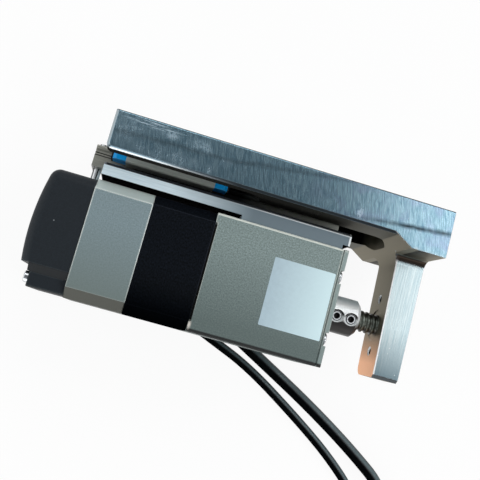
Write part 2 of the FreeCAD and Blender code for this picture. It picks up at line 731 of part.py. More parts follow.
# Encoder: a round board on standoffs, with its sensor chip facing the magnet
CHIP_X0 = MAGNET_BACK_X - CHIP_GAP - CHIP_T
BOARD_X0 = CHIP_X0 - BOARD_T
standoff_places = []
for i in range(STANDOFF_COUNT):
    angle = math.radians(90 + 360 / STANDOFF_COUNT * i)
    standoff_places.append((STANDOFF_PITCH_D / 2 * math.cos(angle), STANDOFF_PITCH_D / 2 * math.sin(angle)))
board = rod(BOARD_D, BOARD_X0, CHIP_X0)
standoffs = []
board_screws = []
for y, z in standoff_places:
    screw_hole = rod(BOARD_SCREW_D + 2 * SEAT, BOARD_X0 - OVER, CHIP_X0 + BOARD_SCREW_L + OVER, y, z)
    board = board.cut(screw_hole)
    standoffs.append(rod(STANDOFF_D, CHIP_X0, BRACKET_X + REAR_RECESS_L, y, z).cut(screw_hole))
    board_screws.append(cap_screw(V(BOARD_X0, y, z), ALONG, BOARD_SCREW_D, BOARD_SCREW_L,
                                  BOARD_SCREW_HEAD_D, BOARD_SCREW_HEAD_H, BOARD_SCREW_D))
export("encoder_board", [board])
export("encoder_standoffs", standoffs)
export("encoder_board_screws", board_screws)
export("encoder_chip", [box(CHIP_X0, CHIP_X0 + CHIP_T, -CHIP_W / 2, CHIP_W / 2, -CHIP_W / 2, CHIP_W / 2)])
export("encoder_socket", [box(BOARD_X0 - SOCKET_H, BOARD_X0, SOCKET_Y - SOCKET_L / 2, SOCKET_Y + SOCKET_L / 2,
                              -SOCKET_W / 2, SOCKET_W / 2)])

# Front housing: a square casting that holds the front bearings and carries the guide plate
plate_screw_xs = (PLATE_FOOT_X0 + PLATE_SCREW_INSET, PLATE_FOOT_X1 - PLATE_SCREW_INSET)
plate_screw_places = [V(x, PLATE_TOP, s * PLATE_SCREW_PITCH_Z / 2) for x in plate_screw_xs for s in (-1, 1)]
mount_holes = [rod(MOUNT_HOLE_D, -MOUNT_HOLE_L, OVER, y, z) for y, z in corners_of(MOUNT_PITCH, MOUNT_PITCH)]
flange_screw_places = corners_of(2 * FLANGE_SCREW_Y, 2 * FLANGE_SCREW_Z)
FLANGE_SEAT_X = -FLANGE_NOTCH_DEPTH
flange_screws = []
flange_holes = []
for y, z in flange_screw_places:
    flange_screws.append(cap_screw(V(FLANGE_SEAT_X, y, z), V(-1, 0, 0), FLANGE_SCREW_D, FLANGE_SCREW_L,
                                   FLANGE_SCREW_HEAD_D, FLANGE_SCREW_HEAD_H, FLANGE_SCREW_KEY))
    flange_holes.append(rod(FLANGE_SCREW_D + 2 * SEAT, FLANGE_SEAT_X - FLANGE_SCREW_L - SEAT, OVER, y, z))
housing = box(HOUSING_X, FLANGE_X, -HALF, HALF, -HALF, HALF)
housing = housing.makeChamfer(HOUSING_BEVEL, straight_edges(housing, ALONG, lambda c: True))
housing = cut_all(housing, [
    rod(COIL_ROOM_D, HOUSING_X - OVER, HOUSING_X + COIL_ROOM_L),
    rod(CLAMP_BORE, HOUSING_X, FLANGE_X),
    rod(FRONT_OD + 2 * SEAT, FRONT_X0, FLANGE_X + OVER),
])
gap_side = HALF - STATOR_CHAMFER
gap_floor = HALF - HOUSING_GAP_DEPTH
for turn in range(4):
    gap = box(HOUSING_X - OVER, HOUSING_X + HOUSING_GAP_L, gap_floor, FRAME, -gap_side, gap_side)
    housing = housing.cut(gap.rotate(V(0, 0, 0), ALONG, 90 * turn))
plate_threads = [hole(at, V(0, -1, 0), M3 + 2 * SEAT, PLATE_SCREW_L + SEAT) for at in plate_screw_places]
housing = cut_all(housing, bolt_threads + mount_holes + flange_holes + plate_threads)
export("front_housing", [housing])

# Front flange: it closes the housing, clamps the bearings and carries the four mounting holes
flange = box(FLANGE_X, 0, -HALF, HALF, -HALF, HALF)
flange = flange.makeChamfer(FLANGE_BEVEL, straight_edges(flange, ALONG, lambda c: True))
neck = HALF - FLANGE_GROOVE
groove = box(FLANGE_X, FLANGE_X + FLANGE_GROOVE, -FRAME, FRAME, -FRAME, FRAME)
groove = groove.cut(box(FLANGE_X - OVER, FLANGE_X + FRAME, -neck, neck, -neck, neck))
clamp = ring(FRONT_OD, CLAMP_BORE, FRONT_X1, FLANGE_X)
flange = flange.cut(groove).fuse(clamp).removeSplitter()
for y, z in flange_screw_places:
    edge_z = math.copysign(HALF + OVER, z)
    notch = FLANGE_NOTCH_W / 2
    flange = flange.cut(box(FLANGE_SEAT_X, OVER, y - notch, y + notch, min(z, edge_z), max(z, edge_z)))
    flange = flange.cut(rod(FLANGE_NOTCH_W, FLANGE_SEAT_X, OVER, y, z))
flange = cut_all(flange, flange_holes + mount_holes + [rod(FLANGE_BORE, FLANGE_X - OVER, OVER)])
export("front_flange", [flange])
export("flange_screws", flange_screws)
wiper = revolve([
    (FLANGE_X, WIPER_LIP_D / 2),
    (FLANGE_X, FLANGE_BORE / 2 - SEAT),
    (FLANGE_X + WIPER_T, FLANGE_BORE / 2 - SEAT),
    (FLANGE_X + WIPER_T, WIPER_BORE / 2),
    (FLANGE_X + WIPER_T - WIPER_LIP_T, WIPER_BORE / 2),
])
export("wiper_ring", [wiper])

# Guide plate on the housing, reaching back over the motor
plate = prism_z([
    (PLATE_X0, PLATE_Y0), (PLATE_FOOT_X0, PLATE_Y0), (PLATE_FOOT_X0, HALF), (PLATE_FOOT_X1, HALF),
    (PLATE_FOOT_X1, PLATE_Y0), (PLATE_X1, PLATE_Y0), (PLATE_X1, PLATE_TOP), (PLATE_X0, PLATE_TOP),
], -PLATE_W / 2, PLATE_W / 2)
plate = plate.makeChamfer(PLATE_BEVEL, straight_edges(plate, ALONG, lambda c: c.y > PLATE_TOP - SEAT))
plate_screws = []
for at in plate_screw_places:
    plate_screws.append(flat_screw(at, V(0, -1, 0), M3, PLATE_SCREW_L, M3_FLAT_HEAD_D, M3_FLAT_KEY))
    plate = plate.cut(flat_seat(at, V(0, -1, 0), M3, PLATE_SCREW_L, M3_FLAT_HEAD_D))
rail_xs = [RAIL_HOLE_X0 + i * RAIL_HOLE_PITCH for i in range(RAIL_HOLE_COUNT)]
SINK_Y = RAIL_TOP - RAIL_SINK
for x in rail_xs:
    plate = plate.cut(hole(V(x, SINK_Y, 0), V(0, -1, 0), M3 + 2 * SEAT, RAIL_SCREW_L + SEAT))
export("guide_plate", [plate])
export("plate_screws", plate_screws)

# Guide rail with a ball race along each side, bolted to the plate
half = RAIL_W / 2
race_y0 = PLATE_TOP + RAIL_BASE_H
race_y1 = race_y0 + RAIL_RACE_H
right_side = [
    (PLATE_TOP, half),
    (race_y0, half),
    (race_y0 + RAIL_RACE_DEPTH, half - RAIL_RACE_DEPTH),
    (race_y1 - RAIL_RACE_DEPTH, half - RAIL_RACE_DEPTH),
    (race_y1, half),
    (RAIL_TOP - RAIL_EDGE, half),
    (RAIL_TOP, half - RAIL_EDGE),
]
left_side = [(y, -z) for y, z in reversed(right_side)]
rail = prism_x(right_side + left_side, RAIL_X0, RAIL_X1)
rail_screws = []
for x in rail_xs:
    seat = V(x, SINK_Y, 0)
    rail = rail.cut(hole(seat, UP_TABLE, RAIL_SINK_D, RAIL_SINK + OVER))
    rail = rail.cut(hole(V(x, PLATE_TOP - OVER, 0), UP_TABLE, M3 + 2 * HOLE_GAP, RAIL_H))
    rail_screws.append(cap_screw(seat, V(0, -1, 0), M3, RAIL_SCREW_L, M3_HEAD_D, M3_HEAD_H, M3_KEY))
rail = rail.cut(hole(V(STOP_X, PLATE_TOP - OVER, 0), UP_TABLE, M3 + 2 * SEAT, RAIL_H + 2 * OVER))
export("guide_rail", [rail])
export("rail_screws", rail_screws)
stop_l = STOP_DROP + RAIL_H + STOP_RISE
export("rail_stop_pin", [hole(V(STOP_X, PLATE_TOP - STOP_DROP, 0), UP_TABLE, M3, stop_l)])

# Guide block that rides on the rail
BLOCK_X1 = BLOCK_X0 + BLOCK_L
BLOCK_MID_X = (BLOCK_X0 + BLOCK_X1) / 2
block_screw_places = [V(BLOCK_MID_X + x, BAR_TOP, z) for x, z in corners_of(BLOCK_HOLE_PITCH, BLOCK_HOLE_PITCH)]


def channel(gap, x0, x1):
    """The room for the rail in a piece that runs over it."""
    return box(x0, x1, PLATE_TOP, RAIL_TOP + gap, -half - gap, half + gap)


wide = BLOCK_W / 2
block = box(BLOCK_X0, BLOCK_X1, BLOCK_Y0, BLOCK_TOP, -wide, wide)
block = block.makeChamfer(BLOCK_EDGE, straight_edges(block, ALONG, lambda c: True))
block = block.cut(channel(BLOCK_GAP, BLOCK_X0 - OVER, BLOCK_X1 + OVER))
lip_gap = BLOCK_GAP * (1 + math.sqrt(2)) / 2
lip = [
    (race_y0 + lip_gap, half + BLOCK_GAP),
    (race_y0 + lip_gap + RAIL_RACE_DEPTH, half + BLOCK_GAP - RAIL_RACE_DEPTH),
    (race_y1 - lip_gap - RAIL_RACE_DEPTH, half + BLOCK_GAP - RAIL_RACE_DEPTH),
    (race_y1 - lip_gap, half + BLOCK_GAP),
    (race_y1 - lip_gap, half + OVER),
    (race_y0 + lip_gap, half + OVER),
]
lip = prism_x(lip, BLOCK_X0, BLOCK_X1)
block = block.fuse([lip, mirrored_z(lip)]).removeSplitter()
cap_screw_y = BLOCK_Y0 + BLOCK_H / 2
cap_screws = []
caps = []
seals = []
for x0, outward in ((BLOCK_X0, -1), (BLOCK_X1, 1)):
    x1 = x0 + outward * CAP_L
    x2 = x1 + outward * SEAL_T
    cap_side = wide - CAP_INSET
    cap = box(min(x0, x1), max(x0, x1), BLOCK_Y0 + CAP_INSET, BLOCK_TOP - CAP_INSET, -cap_side, cap_side)
    cap = cap.makeChamfer(CAP_EDGE, straight_edges(cap, UP_TABLE, lambda c: abs(c.x - x1) < SEAT))
    cap = cap.cut(channel(CAP_GAP, min(x0, x1) - OVER, max(x0, x1) + OVER))
    edge = cap_side - CAP_EDGE
    seal = box(min(x1, x2), max(x1, x2), BLOCK_Y0 + CAP_INSET, BLOCK_TOP - CAP_INSET, -edge, edge)
    seal = seal.cut(channel(SEAL_GAP, min(x1, x2) - OVER, max(x1, x2) + OVER))
    for sz in (-1, 1):
        at = V(x2, cap_screw_y, sz * (wide - CAP_SCREW_INSET))
        cap_screws.append(cap_screw(at, V(-outward, 0, 0), CAP_SCREW_D, CAP_SCREW_L,
                                    CAP_SCREW_HEAD_D, CAP_SCREW_HEAD_H, CAP_SCREW_KEY))
        drilled = hole(at, V(-outward, 0, 0), CAP_SCREW_D + 2 * SEAT, CAP_SCREW_L + SEAT)
        cap = cap.cut(drilled)
        seal = seal.cut(drilled)
        block = block.cut(drilled)
    caps.append(cap)
    seals.append(seal)
block_screws = []
block_seats = []
for at in block_screw_places:
    block_screws.append(flat_screw(at, V(0, -1, 0), M3, BLOCK_SCREW_L, M3_FLAT_HEAD_D, M3_FLAT_KEY))
    block_seats.append(flat_seat(at, V(0, -1, 0), M3, BLOCK_SCREW_L, M3_FLAT_HEAD_D))
block = cut_all(block, block_seats)
export("guide_block", [block])
export("guide_end_caps", caps)
export("guide_end_seals", seals)
export("end_cap_screws", cap_screws)
export("block_screws", block_screws)

# Hook bracket: a thick bar over the guide block, with an arm down to the screw's end
PAD_Y = BAR_Y0 - PAD_DROP
bar = prism_z([
    (BAR_X0, BAR_Y0), (PAD_SLOPE_X0, BAR_Y0), (PAD_SLOPE_X0 + PAD_SLOPE_L, PAD_Y), (ARM_X1, PAD_Y),
    (ARM_X1, BAR_TOP), (BAR_X0, BAR_TOP),
], -BAR_W / 2, BAR_W / 2)
rear_corner = straight_edges(bar, UP, lambda c: c.x < BAR_X0 + SEAT and c.y < BAR_TOP - SEAT)
bar = bar.makeFillet(BAR_CORNER_R, rear_corner)
lower_edges = straight_edges(bar, ALONG, lambda c: c.y < BAR_Y0 + SEAT and c.x < PAD_SLOPE_X0)
bar = bar.makeChamfer(BAR_LOWER_EDGE, lower_edges)
bar = bar.makeChamfer(BAR_UPPER_EDGE, straight_edges(bar, ALONG, lambda c: c.y > BAR_TOP - SEAT))


def tangent_arc(before, corner, after, radius):
    """The two ends and the middle of an arc that rounds a corner between two straight lines."""
    u = (corner - before).normalize()
    v = (after - corner).normalize()
    half_turn = u.getAngle(v) / 2
    run = radius * math.tan(half_turn)
    inward = (v - u).normalize()
    middle = corner + inward * (radius / math.cos(half_turn) - radius)
    return corner - u * run, middle, corner + v * run


def outline_face(steps):
    """A flat face from points in order, where a group of three is an arc through them."""
    edges = []
    at = steps[0]
    for step in steps[1:] + steps[:1]:
        if isinstance(step, tuple):
            if (step[0] - at).Length > SEAT:
                edges.append(Part.makeLine(at, step[0]))
            edges.append(Part.Arc(*step).toShape())
            at = step[2]
        else:
            edges.append(Part.makeLine(at, step))
            at = step
    return Part.Face(Part.Wire(edges))


# The arm is the common part of two outlines. One is its side, thinner towards the tip and rounded into the
# pad's slope. The other is its front, which widens into the pad at its root.
ARM_ROOT_X0 = ARM_X1 - ARM_ROOT_T
ARM_TIP_X0 = ARM_X1 - ARM_TIP_T
inner_lean = (ARM_TIP_X0 - ARM_ROOT_X0) / (PAD_Y - ARM_TIP_Y)
slope_fall = PAD_DROP / PAD_SLOPE_L
PAD_FLAT_X0 = PAD_SLOPE_X0 + PAD_SLOPE_L
heel_drop = (ARM_ROOT_X0 - PAD_FLAT_X0) * slope_fall / (1 - inner_lean * slope_fall)
heel = V(ARM_ROOT_X0 + heel_drop * inner_lean, PAD_Y - heel_drop, 0)
sunk_y = BAR_Y0 + OVER
arm_tip = V(ARM_TIP_X0, ARM_TIP_Y, 0)
heel_arc = tangent_arc(V(PAD_SLOPE_X0, BAR_Y0, 0), heel, arm_tip, ARM_HEEL_R)
side_face = outline_face([
    V(ARM_X1, sunk_y, 0), V(heel_arc[0].x, sunk_y, 0), heel_arc, arm_tip, V(ARM_X1, ARM_TIP_Y, 0),
])
arm_side = ARM_W / 2
root_z = arm_side + ARM_ROOT_R
tip_y = ARM_TIP_Y
front_arc = tangent_arc(V(0, tip_y, arm_side), V(0, PAD_Y, arm_side), V(0, PAD_Y, root_z + OVER), ARM_ROOT_R)
back_arc = tangent_arc(V(0, PAD_Y, -root_z - OVER), V(0, PAD_Y, -arm_side), V(0, tip_y, -arm_side), ARM_ROOT_R)
tip_arc = tangent_arc(V(0, PAD_Y, -arm_side), V(0, tip_y, -arm_side), V(0, tip_y, arm_side), ARM_TIP_R)
front_face = outline_face([
    V(0, sunk_y, root_z), V(0, sunk_y, -root_z), back_arc, tip_arc, V(0, tip_y, arm_side - ARM_TIP_BEVEL),
    V(0, tip_y + ARM_TIP_BEVEL, arm_side), front_arc,
])
side_face.translate(V(0, 0, -BAR_W / 2))
arm = side_face.extrude(V(0, 0, BAR_W)).common(front_face.extrude(V(ARM_X1 + OVER, 0, 0)))
hook = bar.fuse(arm).removeSplitter()

def end_pocket(width, x1, roof_y, radius):
    """A pocket milled from below, open at the bar's rear end and round at its front corners."""
    pocket = box(BAR_X0 - radius, x1, PAD_Y - OVER, roof_y, -width / 2, width / 2)
    return pocket.makeFillet(radius, straight_edges(pocket, UP_TABLE, lambda c: c.x > x1 - SEAT))


hook = cut_all(hook, block_seats + [
    end_pocket(SLOT_W, SLOT_X1, RAIL_TOP + SLOT_ROOF_GAP, SLOT_R),
    end_pocket(POCKET_W, POCKET_X1, BLOCK_TOP, POCKET_R),
    rod(SPIGOT_D + 2 * SEAT, ARM_ROOT_X0, ARM_X1 + OVER),
    rod(SEAT_FACE_D, ARM_ROOT_X0 - OVER, SEAT_FACE_X),
    rod(END_NUT_SEAT_D, ARM_X1 - END_NUT_SINK, ARM_X1 + OVER),
])
for y in (-TOOL_HOLE_PITCH / 2, TOOL_HOLE_PITCH / 2):
    face_x = ARM_ROOT_X0 + inner_lean * (PAD_Y - y)
    sink = revolve([
        (face_x - OVER, 0), (face_x - OVER, TOOL_HOLE_D / 2 + TOOL_HOLE_EDGE + OVER),
        (face_x + TOOL_HOLE_EDGE, TOOL_HOLE_D / 2), (ARM_X1 + OVER, TOOL_HOLE_D / 2), (ARM_X1 + OVER, 0),
    ])
    sink.translate(V(0, y, 0))
    hook = hook.cut(sink)
export("hook_bracket", [hook])

# Ball screw, the nut that holds it in the arm, and the stop collar on it
ball_screw = revolve([
    (SCREW_REAR_X, 0),
    (SCREW_REAR_X, SCREW_D / 2 - SCREW_END_BEVEL),
    (SCREW_REAR_X + SCREW_END_BEVEL, SCREW_D / 2),
    (SEAT_FACE_X, SCREW_D / 2),
    (SEAT_FACE_X, SPIGOT_D / 2),
    (SEAT_FACE_X + SPIGOT_L, SPIGOT_D / 2),
    (SEAT_FACE_X + SPIGOT_L, 0),
])
export("ball_screw", [ball_screw])
END_NUT_X0 = ARM_X1 - END_NUT_SINK
end_nut = key_hole(END_NUT_AF, END_NUT_T - OVER)
end_nut.translate(V(END_NUT_X0 + OVER, 0, 0))
export("screw_end_nut", [end_nut.cut(rod(SPIGOT_D + 2 * SEAT, END_NUT_X0 - OVER, ARM_X1))])

COLLAR_X1 = COLLAR_X0 + COLLAR_L
collar = revolve([
    (COLLAR_X0, SCREW_D / 2 + SEAT),
    (COLLAR_X0, COLLAR_D / 2),
    (COLLAR_X1 - COLLAR_BEVEL, COLLAR_D / 2),
    (COLLAR_X1, COLLAR_D / 2 - COLLAR_BEVEL),
    (COLLAR_X1, SCREW_D / 2 + SEAT),
])
tilt = math.radians(SET_SCREW_TILT)
inward = V(0, math.sin(tilt), -math.cos(tilt))
set_screws = []
for x in SET_SCREW_X:
    top = V(x, 0, 0) - inward * (SCREW_D / 2 + SEAT + SET_SCREW_L)
    edge_r = SET_SCREW_D / 2 - HEAD_EDGE
    set_screw = revolve([(0, 0), (0, edge_r), (HEAD_EDGE, SET_SCREW_D / 2),
                         (SET_SCREW_L, SET_SCREW_D / 2), (SET_SCREW_L, 0)])
    set_screws.append(placed(set_screw.cut(key_hole(SET_SCREW_KEY, SET_SCREW_L / 2)), top, inward))
    threaded = SET_SCREW_D / 2 + SEAT
    sink_depth = COLLAR_D / 2 - math.sqrt((COLLAR_D / 2) ** 2 - (SET_SCREW_SINK_D / 2) ** 2)
    sink_top = SET_SCREW_SINK_D / 2 + sink_depth + OVER
    sink_h = sink_top - threaded
    seat_room = revolve([(-OVER, 0), (-OVER, sink_top), (sink_h - OVER, threaded), (COLLAR_D / 2, threaded),
                         (COLLAR_D / 2, 0)])
    collar = collar.cut(placed(seat_room, V(x, 0, 0) - inward * (COLLAR_D / 2), inward))
export("stop_collar", [collar])
export("collar_set_screws", set_screws)
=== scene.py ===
# %% [markdown]
# This lesson dresses a small electric cylinder: a square stepping motor with a ball screw through its
# hollow shaft, a miniature rail on its side, and a thick aluminium bracket that the screw pushes along.
# Its rigid pieces come ready made, at their real size and place, so nothing here moves or scales them.
# We add what a solid model lacks: finishes, the screw's thread, soft cables, a label, light and a camera.

# %% Load the ready-made pieces
import json
import math

import bmesh
import bpy
from mathutils import Matrix, Vector

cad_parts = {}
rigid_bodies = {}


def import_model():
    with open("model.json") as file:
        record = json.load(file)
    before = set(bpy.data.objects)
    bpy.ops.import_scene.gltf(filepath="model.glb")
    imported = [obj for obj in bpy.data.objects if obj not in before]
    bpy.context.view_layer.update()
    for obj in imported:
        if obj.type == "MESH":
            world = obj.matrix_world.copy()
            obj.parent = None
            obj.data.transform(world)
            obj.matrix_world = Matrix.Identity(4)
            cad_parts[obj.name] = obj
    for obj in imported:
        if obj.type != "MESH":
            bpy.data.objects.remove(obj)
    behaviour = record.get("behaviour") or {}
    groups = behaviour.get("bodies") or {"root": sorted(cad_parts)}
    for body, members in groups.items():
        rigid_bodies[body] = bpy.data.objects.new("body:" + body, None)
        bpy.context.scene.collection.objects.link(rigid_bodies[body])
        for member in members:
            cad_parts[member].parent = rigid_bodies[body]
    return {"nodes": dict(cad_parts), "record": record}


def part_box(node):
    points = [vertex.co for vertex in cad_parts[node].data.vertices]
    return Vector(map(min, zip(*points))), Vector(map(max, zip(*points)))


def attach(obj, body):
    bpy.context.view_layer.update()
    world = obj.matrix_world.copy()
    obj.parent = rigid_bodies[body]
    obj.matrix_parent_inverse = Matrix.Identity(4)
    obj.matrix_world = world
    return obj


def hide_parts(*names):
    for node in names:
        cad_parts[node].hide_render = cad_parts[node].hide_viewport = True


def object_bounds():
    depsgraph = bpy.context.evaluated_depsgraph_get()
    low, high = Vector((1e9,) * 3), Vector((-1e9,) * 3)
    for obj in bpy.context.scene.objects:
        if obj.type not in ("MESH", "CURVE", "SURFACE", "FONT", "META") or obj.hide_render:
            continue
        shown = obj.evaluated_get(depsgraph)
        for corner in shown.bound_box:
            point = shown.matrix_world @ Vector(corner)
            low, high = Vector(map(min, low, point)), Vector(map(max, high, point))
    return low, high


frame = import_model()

MM = 0.001
nodes = frame["nodes"]
cad_low, cad_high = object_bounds()
print("pieces:", len(nodes), "size in mm:", [round(side / MM, 1) for side in cad_high - cad_low])

# %% [markdown]
# The camera stands above the motor's label side and looks almost straight down, a little turned in its
# hand, so the part runs slanting through the picture. A place, a point to aim at and a turn are enough to
# build its matrix: the view line gives one axis, and the top of the picture gives the second.

# %% Camera
CAMERA_AT = Vector((-68.17, -23.28, 272.97)) * MM
CAMERA_AIM = Vector((-35.9, 16.92, 0.0)) * MM
PICTURE_TURN = math.radians(15.26)
PICTURE_SIDE_PX = 480
FOCAL_PX = 745
SENSOR_MM = 36

back = (CAMERA_AT - CAMERA_AIM).normalized()
picture_top = Vector((-math.sin(PICTURE_TURN), math.cos(PICTURE_TURN), 0))
right = picture_top.cross(back).normalized()
up = back.cross(right)
camera_data = bpy.data.cameras.new("photo_camera")
camera_data.sensor_width = SENSOR_MM
camera_data.lens = SENSOR_MM * FOCAL_PX / PICTURE_SIDE_PX
camera_data.clip_start = 0.01
camera = bpy.data.objects.new("photo_camera", camera_data)
camera.matrix_world = Matrix((right, up, back)).transposed().to_4x4()
camera.location = CAMERA_AT
bpy.context.scene.collection.objects.link(camera)
bpy.context.scene.camera = camera
print("lens:", round(camera_data.lens, 2), "mm")

# %% [markdown]
# Two round black cables leave the hood under the rear cover, cross below the motor and lie on the table.
# A cable bends in one smooth line, so each is a single NURBS curve led by a few given points, with a
# round bevel for its jacket. We turn that curve into a mesh, because a curve's own box counts its control
# points, which lie outside the jacket. Each cable's last stretch lies outside the picture and ends in a plug.

# %% Cables
MOTOR_CABLE_D = 4.8
MOTOR_CABLE_ROUTE = [
    (-93.5, 7.2, -23.6), (-80, 4.2, -24.8), (-59, -2.2, -25.1), (-34.5, -12.2, -25.1),
    (-10, -24.9, -25.1), (11, -36, -25.1), (32, -48.5, -25.1), (51, -61.8, -25.1),
    (57.2, -85, -25.1), (45.2, -105.8, -25.1), (22, -112, -25.1), (2, -112, -25.1),
]
ENCODER_CABLE_D = 3.6
ENCODER_CABLE_ROUTE = [
    (-93.5, -1.6, -23.8), (-80, -4.6, -25.2), (-59, -11, -25.7), (-33.5, -20.9, -25.7),
    (-16, -27.9, -25.7), (6, -41.2, -25.7), (24.5, -53.6, -25.7), (39, -66.5, -25.7),
    (41.6, -81.3, -25.7), (34.1, -94.3, -25.7), (20, -99.4, -25.7), (6, -99.4, -25.7),
]


def lay_cable(name, route, diameter):
    """A cable along its route, in place of the plain tube of the same name."""
    curve = bpy.data.curves.new(name + "_line", "CURVE")
    curve.dimensions = "3D"
    curve.resolution_u = 16
    curve.use_fill_caps = True
    spline = curve.splines.new("NURBS")
    spline.points.add(len(route) - 1)
    for point, place in zip(spline.points, route):
        point.co = (*(Vector(place) * MM), 1)
    spline.order_u = 3
    spline.use_endpoint_u = True
    line = bpy.data.objects.new(name + "_line", curve)
    middle = bpy.data.meshes.new_from_object(line)
    curve.bevel_depth = diameter * MM / 2
    curve.bevel_resolution = 6
    cable = bpy.data.objects.new(name + "_jacket", bpy.data.meshes.new_from_object(line))
    cable.data.shade_smooth()
    for spare in (line, curve, middle):
        bpy.data.batch_remove([spare])
    bpy.context.scene.collection.objects.link(cable)
    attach(cable, "motor")
    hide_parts(name)
    return cable


motor_cable = lay_cable("motor_cable", MOTOR_CABLE_ROUTE, MOTOR_CABLE_D)
encoder_cable = lay_cable("encoder_cable", ENCODER_CABLE_ROUTE, ENCODER_CABLE_D)
print("cables:", motor_cable.name, encoder_cable.name)

# %% [markdown]
# The ball screw is the one piece whose outline the solid model simplifies: there it is a plain rod, and
# here it gets its thread. The balls run in a round groove that winds along the rod once every 2 mm. We lay
# rings of points along the rod and pull a point inwards where its own angle and place fall in the groove.

# %% Thread of the ball screw
SCREW_LEAD = 2.0
GROOVE_W = 1.35
GROOVE_DEPTH = 0.62
RINGS_PER_TURN = 14
RING_POINTS = 44
SCREW_END_BEVEL = 0.8
SPIGOT_R = 2.5
SPIGOT_L = 9.4


def groove_depth(x, angle):
    """How far the groove lies below the rod's surface, in mm, at a place along it and an angle round it."""
    from_middle = (x / SCREW_LEAD - angle / math.tau) % 1 - 0.5
    share = 2 * from_middle * SCREW_LEAD / GROOVE_W
    return GROOVE_DEPTH * math.sqrt(max(0, 1 - share * share))


def grooved_screw(name, x0, x1, radius):
    """A rod along X with its groove, and a plain spigot at the +X end."""
    rings = [(x0, radius - SCREW_END_BEVEL, 0)]
    count = round((x1 - SPIGOT_L - x0) / SCREW_LEAD * RINGS_PER_TURN)
    for at in range(count + 1):
        x = x0 + SCREW_END_BEVEL + (x1 - SPIGOT_L - x0 - SCREW_END_BEVEL) * at / count
        rings.append((x, radius, 1))
    rings += [(x1 - SPIGOT_L, SPIGOT_R, 0), (x1, SPIGOT_R, 0)]
    shape = bmesh.new()
    loops = []
    for x, r, grooved in rings:
        loop = []
        for step in range(RING_POINTS):
            angle = math.tau * step / RING_POINTS
            here = r - grooved * groove_depth(x, angle)
            place = Vector((x, here * math.cos(angle), here * math.sin(angle)))
            loop.append(shape.verts.new(place * MM))
        loops.append(loop)
    for first, second in zip(loops, loops[1:]):
        for step in range(RING_POINTS):
            after = (step + 1) % RING_POINTS
            shape.faces.new((first[step], first[after], second[after], second[step]))
    shape.faces.new(loops[0])
    shape.faces.new(reversed(loops[-1]))
    bmesh.ops.recalc_face_normals(shape, faces=shape.faces)
    mesh = bpy.data.meshes.new(name)
    shape.to_mesh(mesh)
    shape.free()
    mesh.shade_smooth()
    mesh.set_sharp_from_angle(angle=math.radians(50))
    screw = bpy.data.objects.new(name, mesh)
    bpy.context.scene.collection.objects.link(screw)
    return screw


screw_low, screw_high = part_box("ball_screw")
screw = grooved_screw("grooved_ball_screw", screw_low.x / MM, screw_high.x / MM, screw_high.y / MM)
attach(screw, "table")
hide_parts("ball_screw")
print("screw:", len(screw.data.polygons), "faces,", round((screw_high.x - screw_low.x) / MM, 1), "mm long")

# %% [markdown]
# A thin film label sits on the front housing. Ours stays bare: a pale sheet with rounded corners, a tenth
# of a millimetre thick, whose edge just catches the light. The corner arcs are the whole outline.

# %% Bare label
LABEL_X = (-24.9, -2.6)
LABEL_Y = (-12.4, 11.7)
LABEL_T = 0.1
LABEL_CORNER_R = 0.4
CORNER_STEPS = 6

housing_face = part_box("front_housing")[1].z / MM
outline = []
for turn, (cx, cy) in enumerate([(1, 1), (0, 1), (0, 0), (1, 0)]):
    middle_x = LABEL_X[cx] + (1 - 2 * cx) * LABEL_CORNER_R
    middle_y = LABEL_Y[cy] + (1 - 2 * cy) * LABEL_CORNER_R
    for step in range(CORNER_STEPS + 1):
        angle = math.radians(90 * (turn + step / CORNER_STEPS))
        x = middle_x + LABEL_CORNER_R * math.cos(angle)
        y = middle_y + LABEL_CORNER_R * math.sin(angle)
        outline.append((x, y))
shape = bmesh.new()
foot = [shape.verts.new(Vector((x, y, housing_face)) * MM) for x, y in outline]
top = [shape.verts.new(Vector((x, y, housing_face + LABEL_T)) * MM) for x, y in outline]
shape.faces.new(top)
shape.faces.new(reversed(foot))
for at in range(len(outline)):
    after = (at + 1) % len(outline)
    shape.faces.new((foot[at], foot[after], top[after], top[at]))
label_mesh = bpy.data.meshes.new("bare_label")
shape.to_mesh(label_mesh)
shape.free()
label = bpy.data.objects.new("bare_label", label_mesh)
bpy.context.scene.collection.objects.link(label)
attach(label, "motor")
print("label:", LABEL_X[1] - LABEL_X[0], "x", LABEL_Y[1] - LABEL_Y[0], "mm")

# %% [markdown]
# Every finish below is a small node tree. One function adds a node, sets its options and either fills or
# links its inputs, so a tree reads from top to bottom. Colours are written the way a colour picker shows
# them, as sRGB hex codes, and a second function turns them into the linear numbers that a shader needs.

# %% Two helpers for node trees
def linear(code):
    """A hex colour such as #4f6472 as linear red, green, blue and alpha."""
    channels = [int(code[at:at + 2], 16) / 255 for at in (1, 3, 5)]
    return [c / 12.92 if c <= 0.04045 else ((c + 0.055) / 1.055) ** 2.4 for c in channels] + [1]


def add(tree, kind, inputs, **options):
    """One new node. An input that is another node's output is linked, and any other value is set."""
    node = tree.nodes.new("ShaderNode" + kind)
    for option, value in options.items():
        setattr(node, option, value)
    for name, value in inputs.items():
        if isinstance(value, bpy.types.NodeSocket):
            tree.links.new(value, node.inputs[name])
        else:
            node.inputs[name].default_value = value
    return node


print("white is", linear("#ffffff"), "and mid grey is", [round(c, 3) for c in linear("#808080")])

# %% [markdown]
# The part lies on a plain pale table. Where a ray comes from the camera or a mirror, the Light Path node
# turns the table white, and a small share of real light keeps the part's faint shadow on it.

# %% Table
TABLE_SIDE = 40.0
TABLE_OWN_WHITE = 0.92


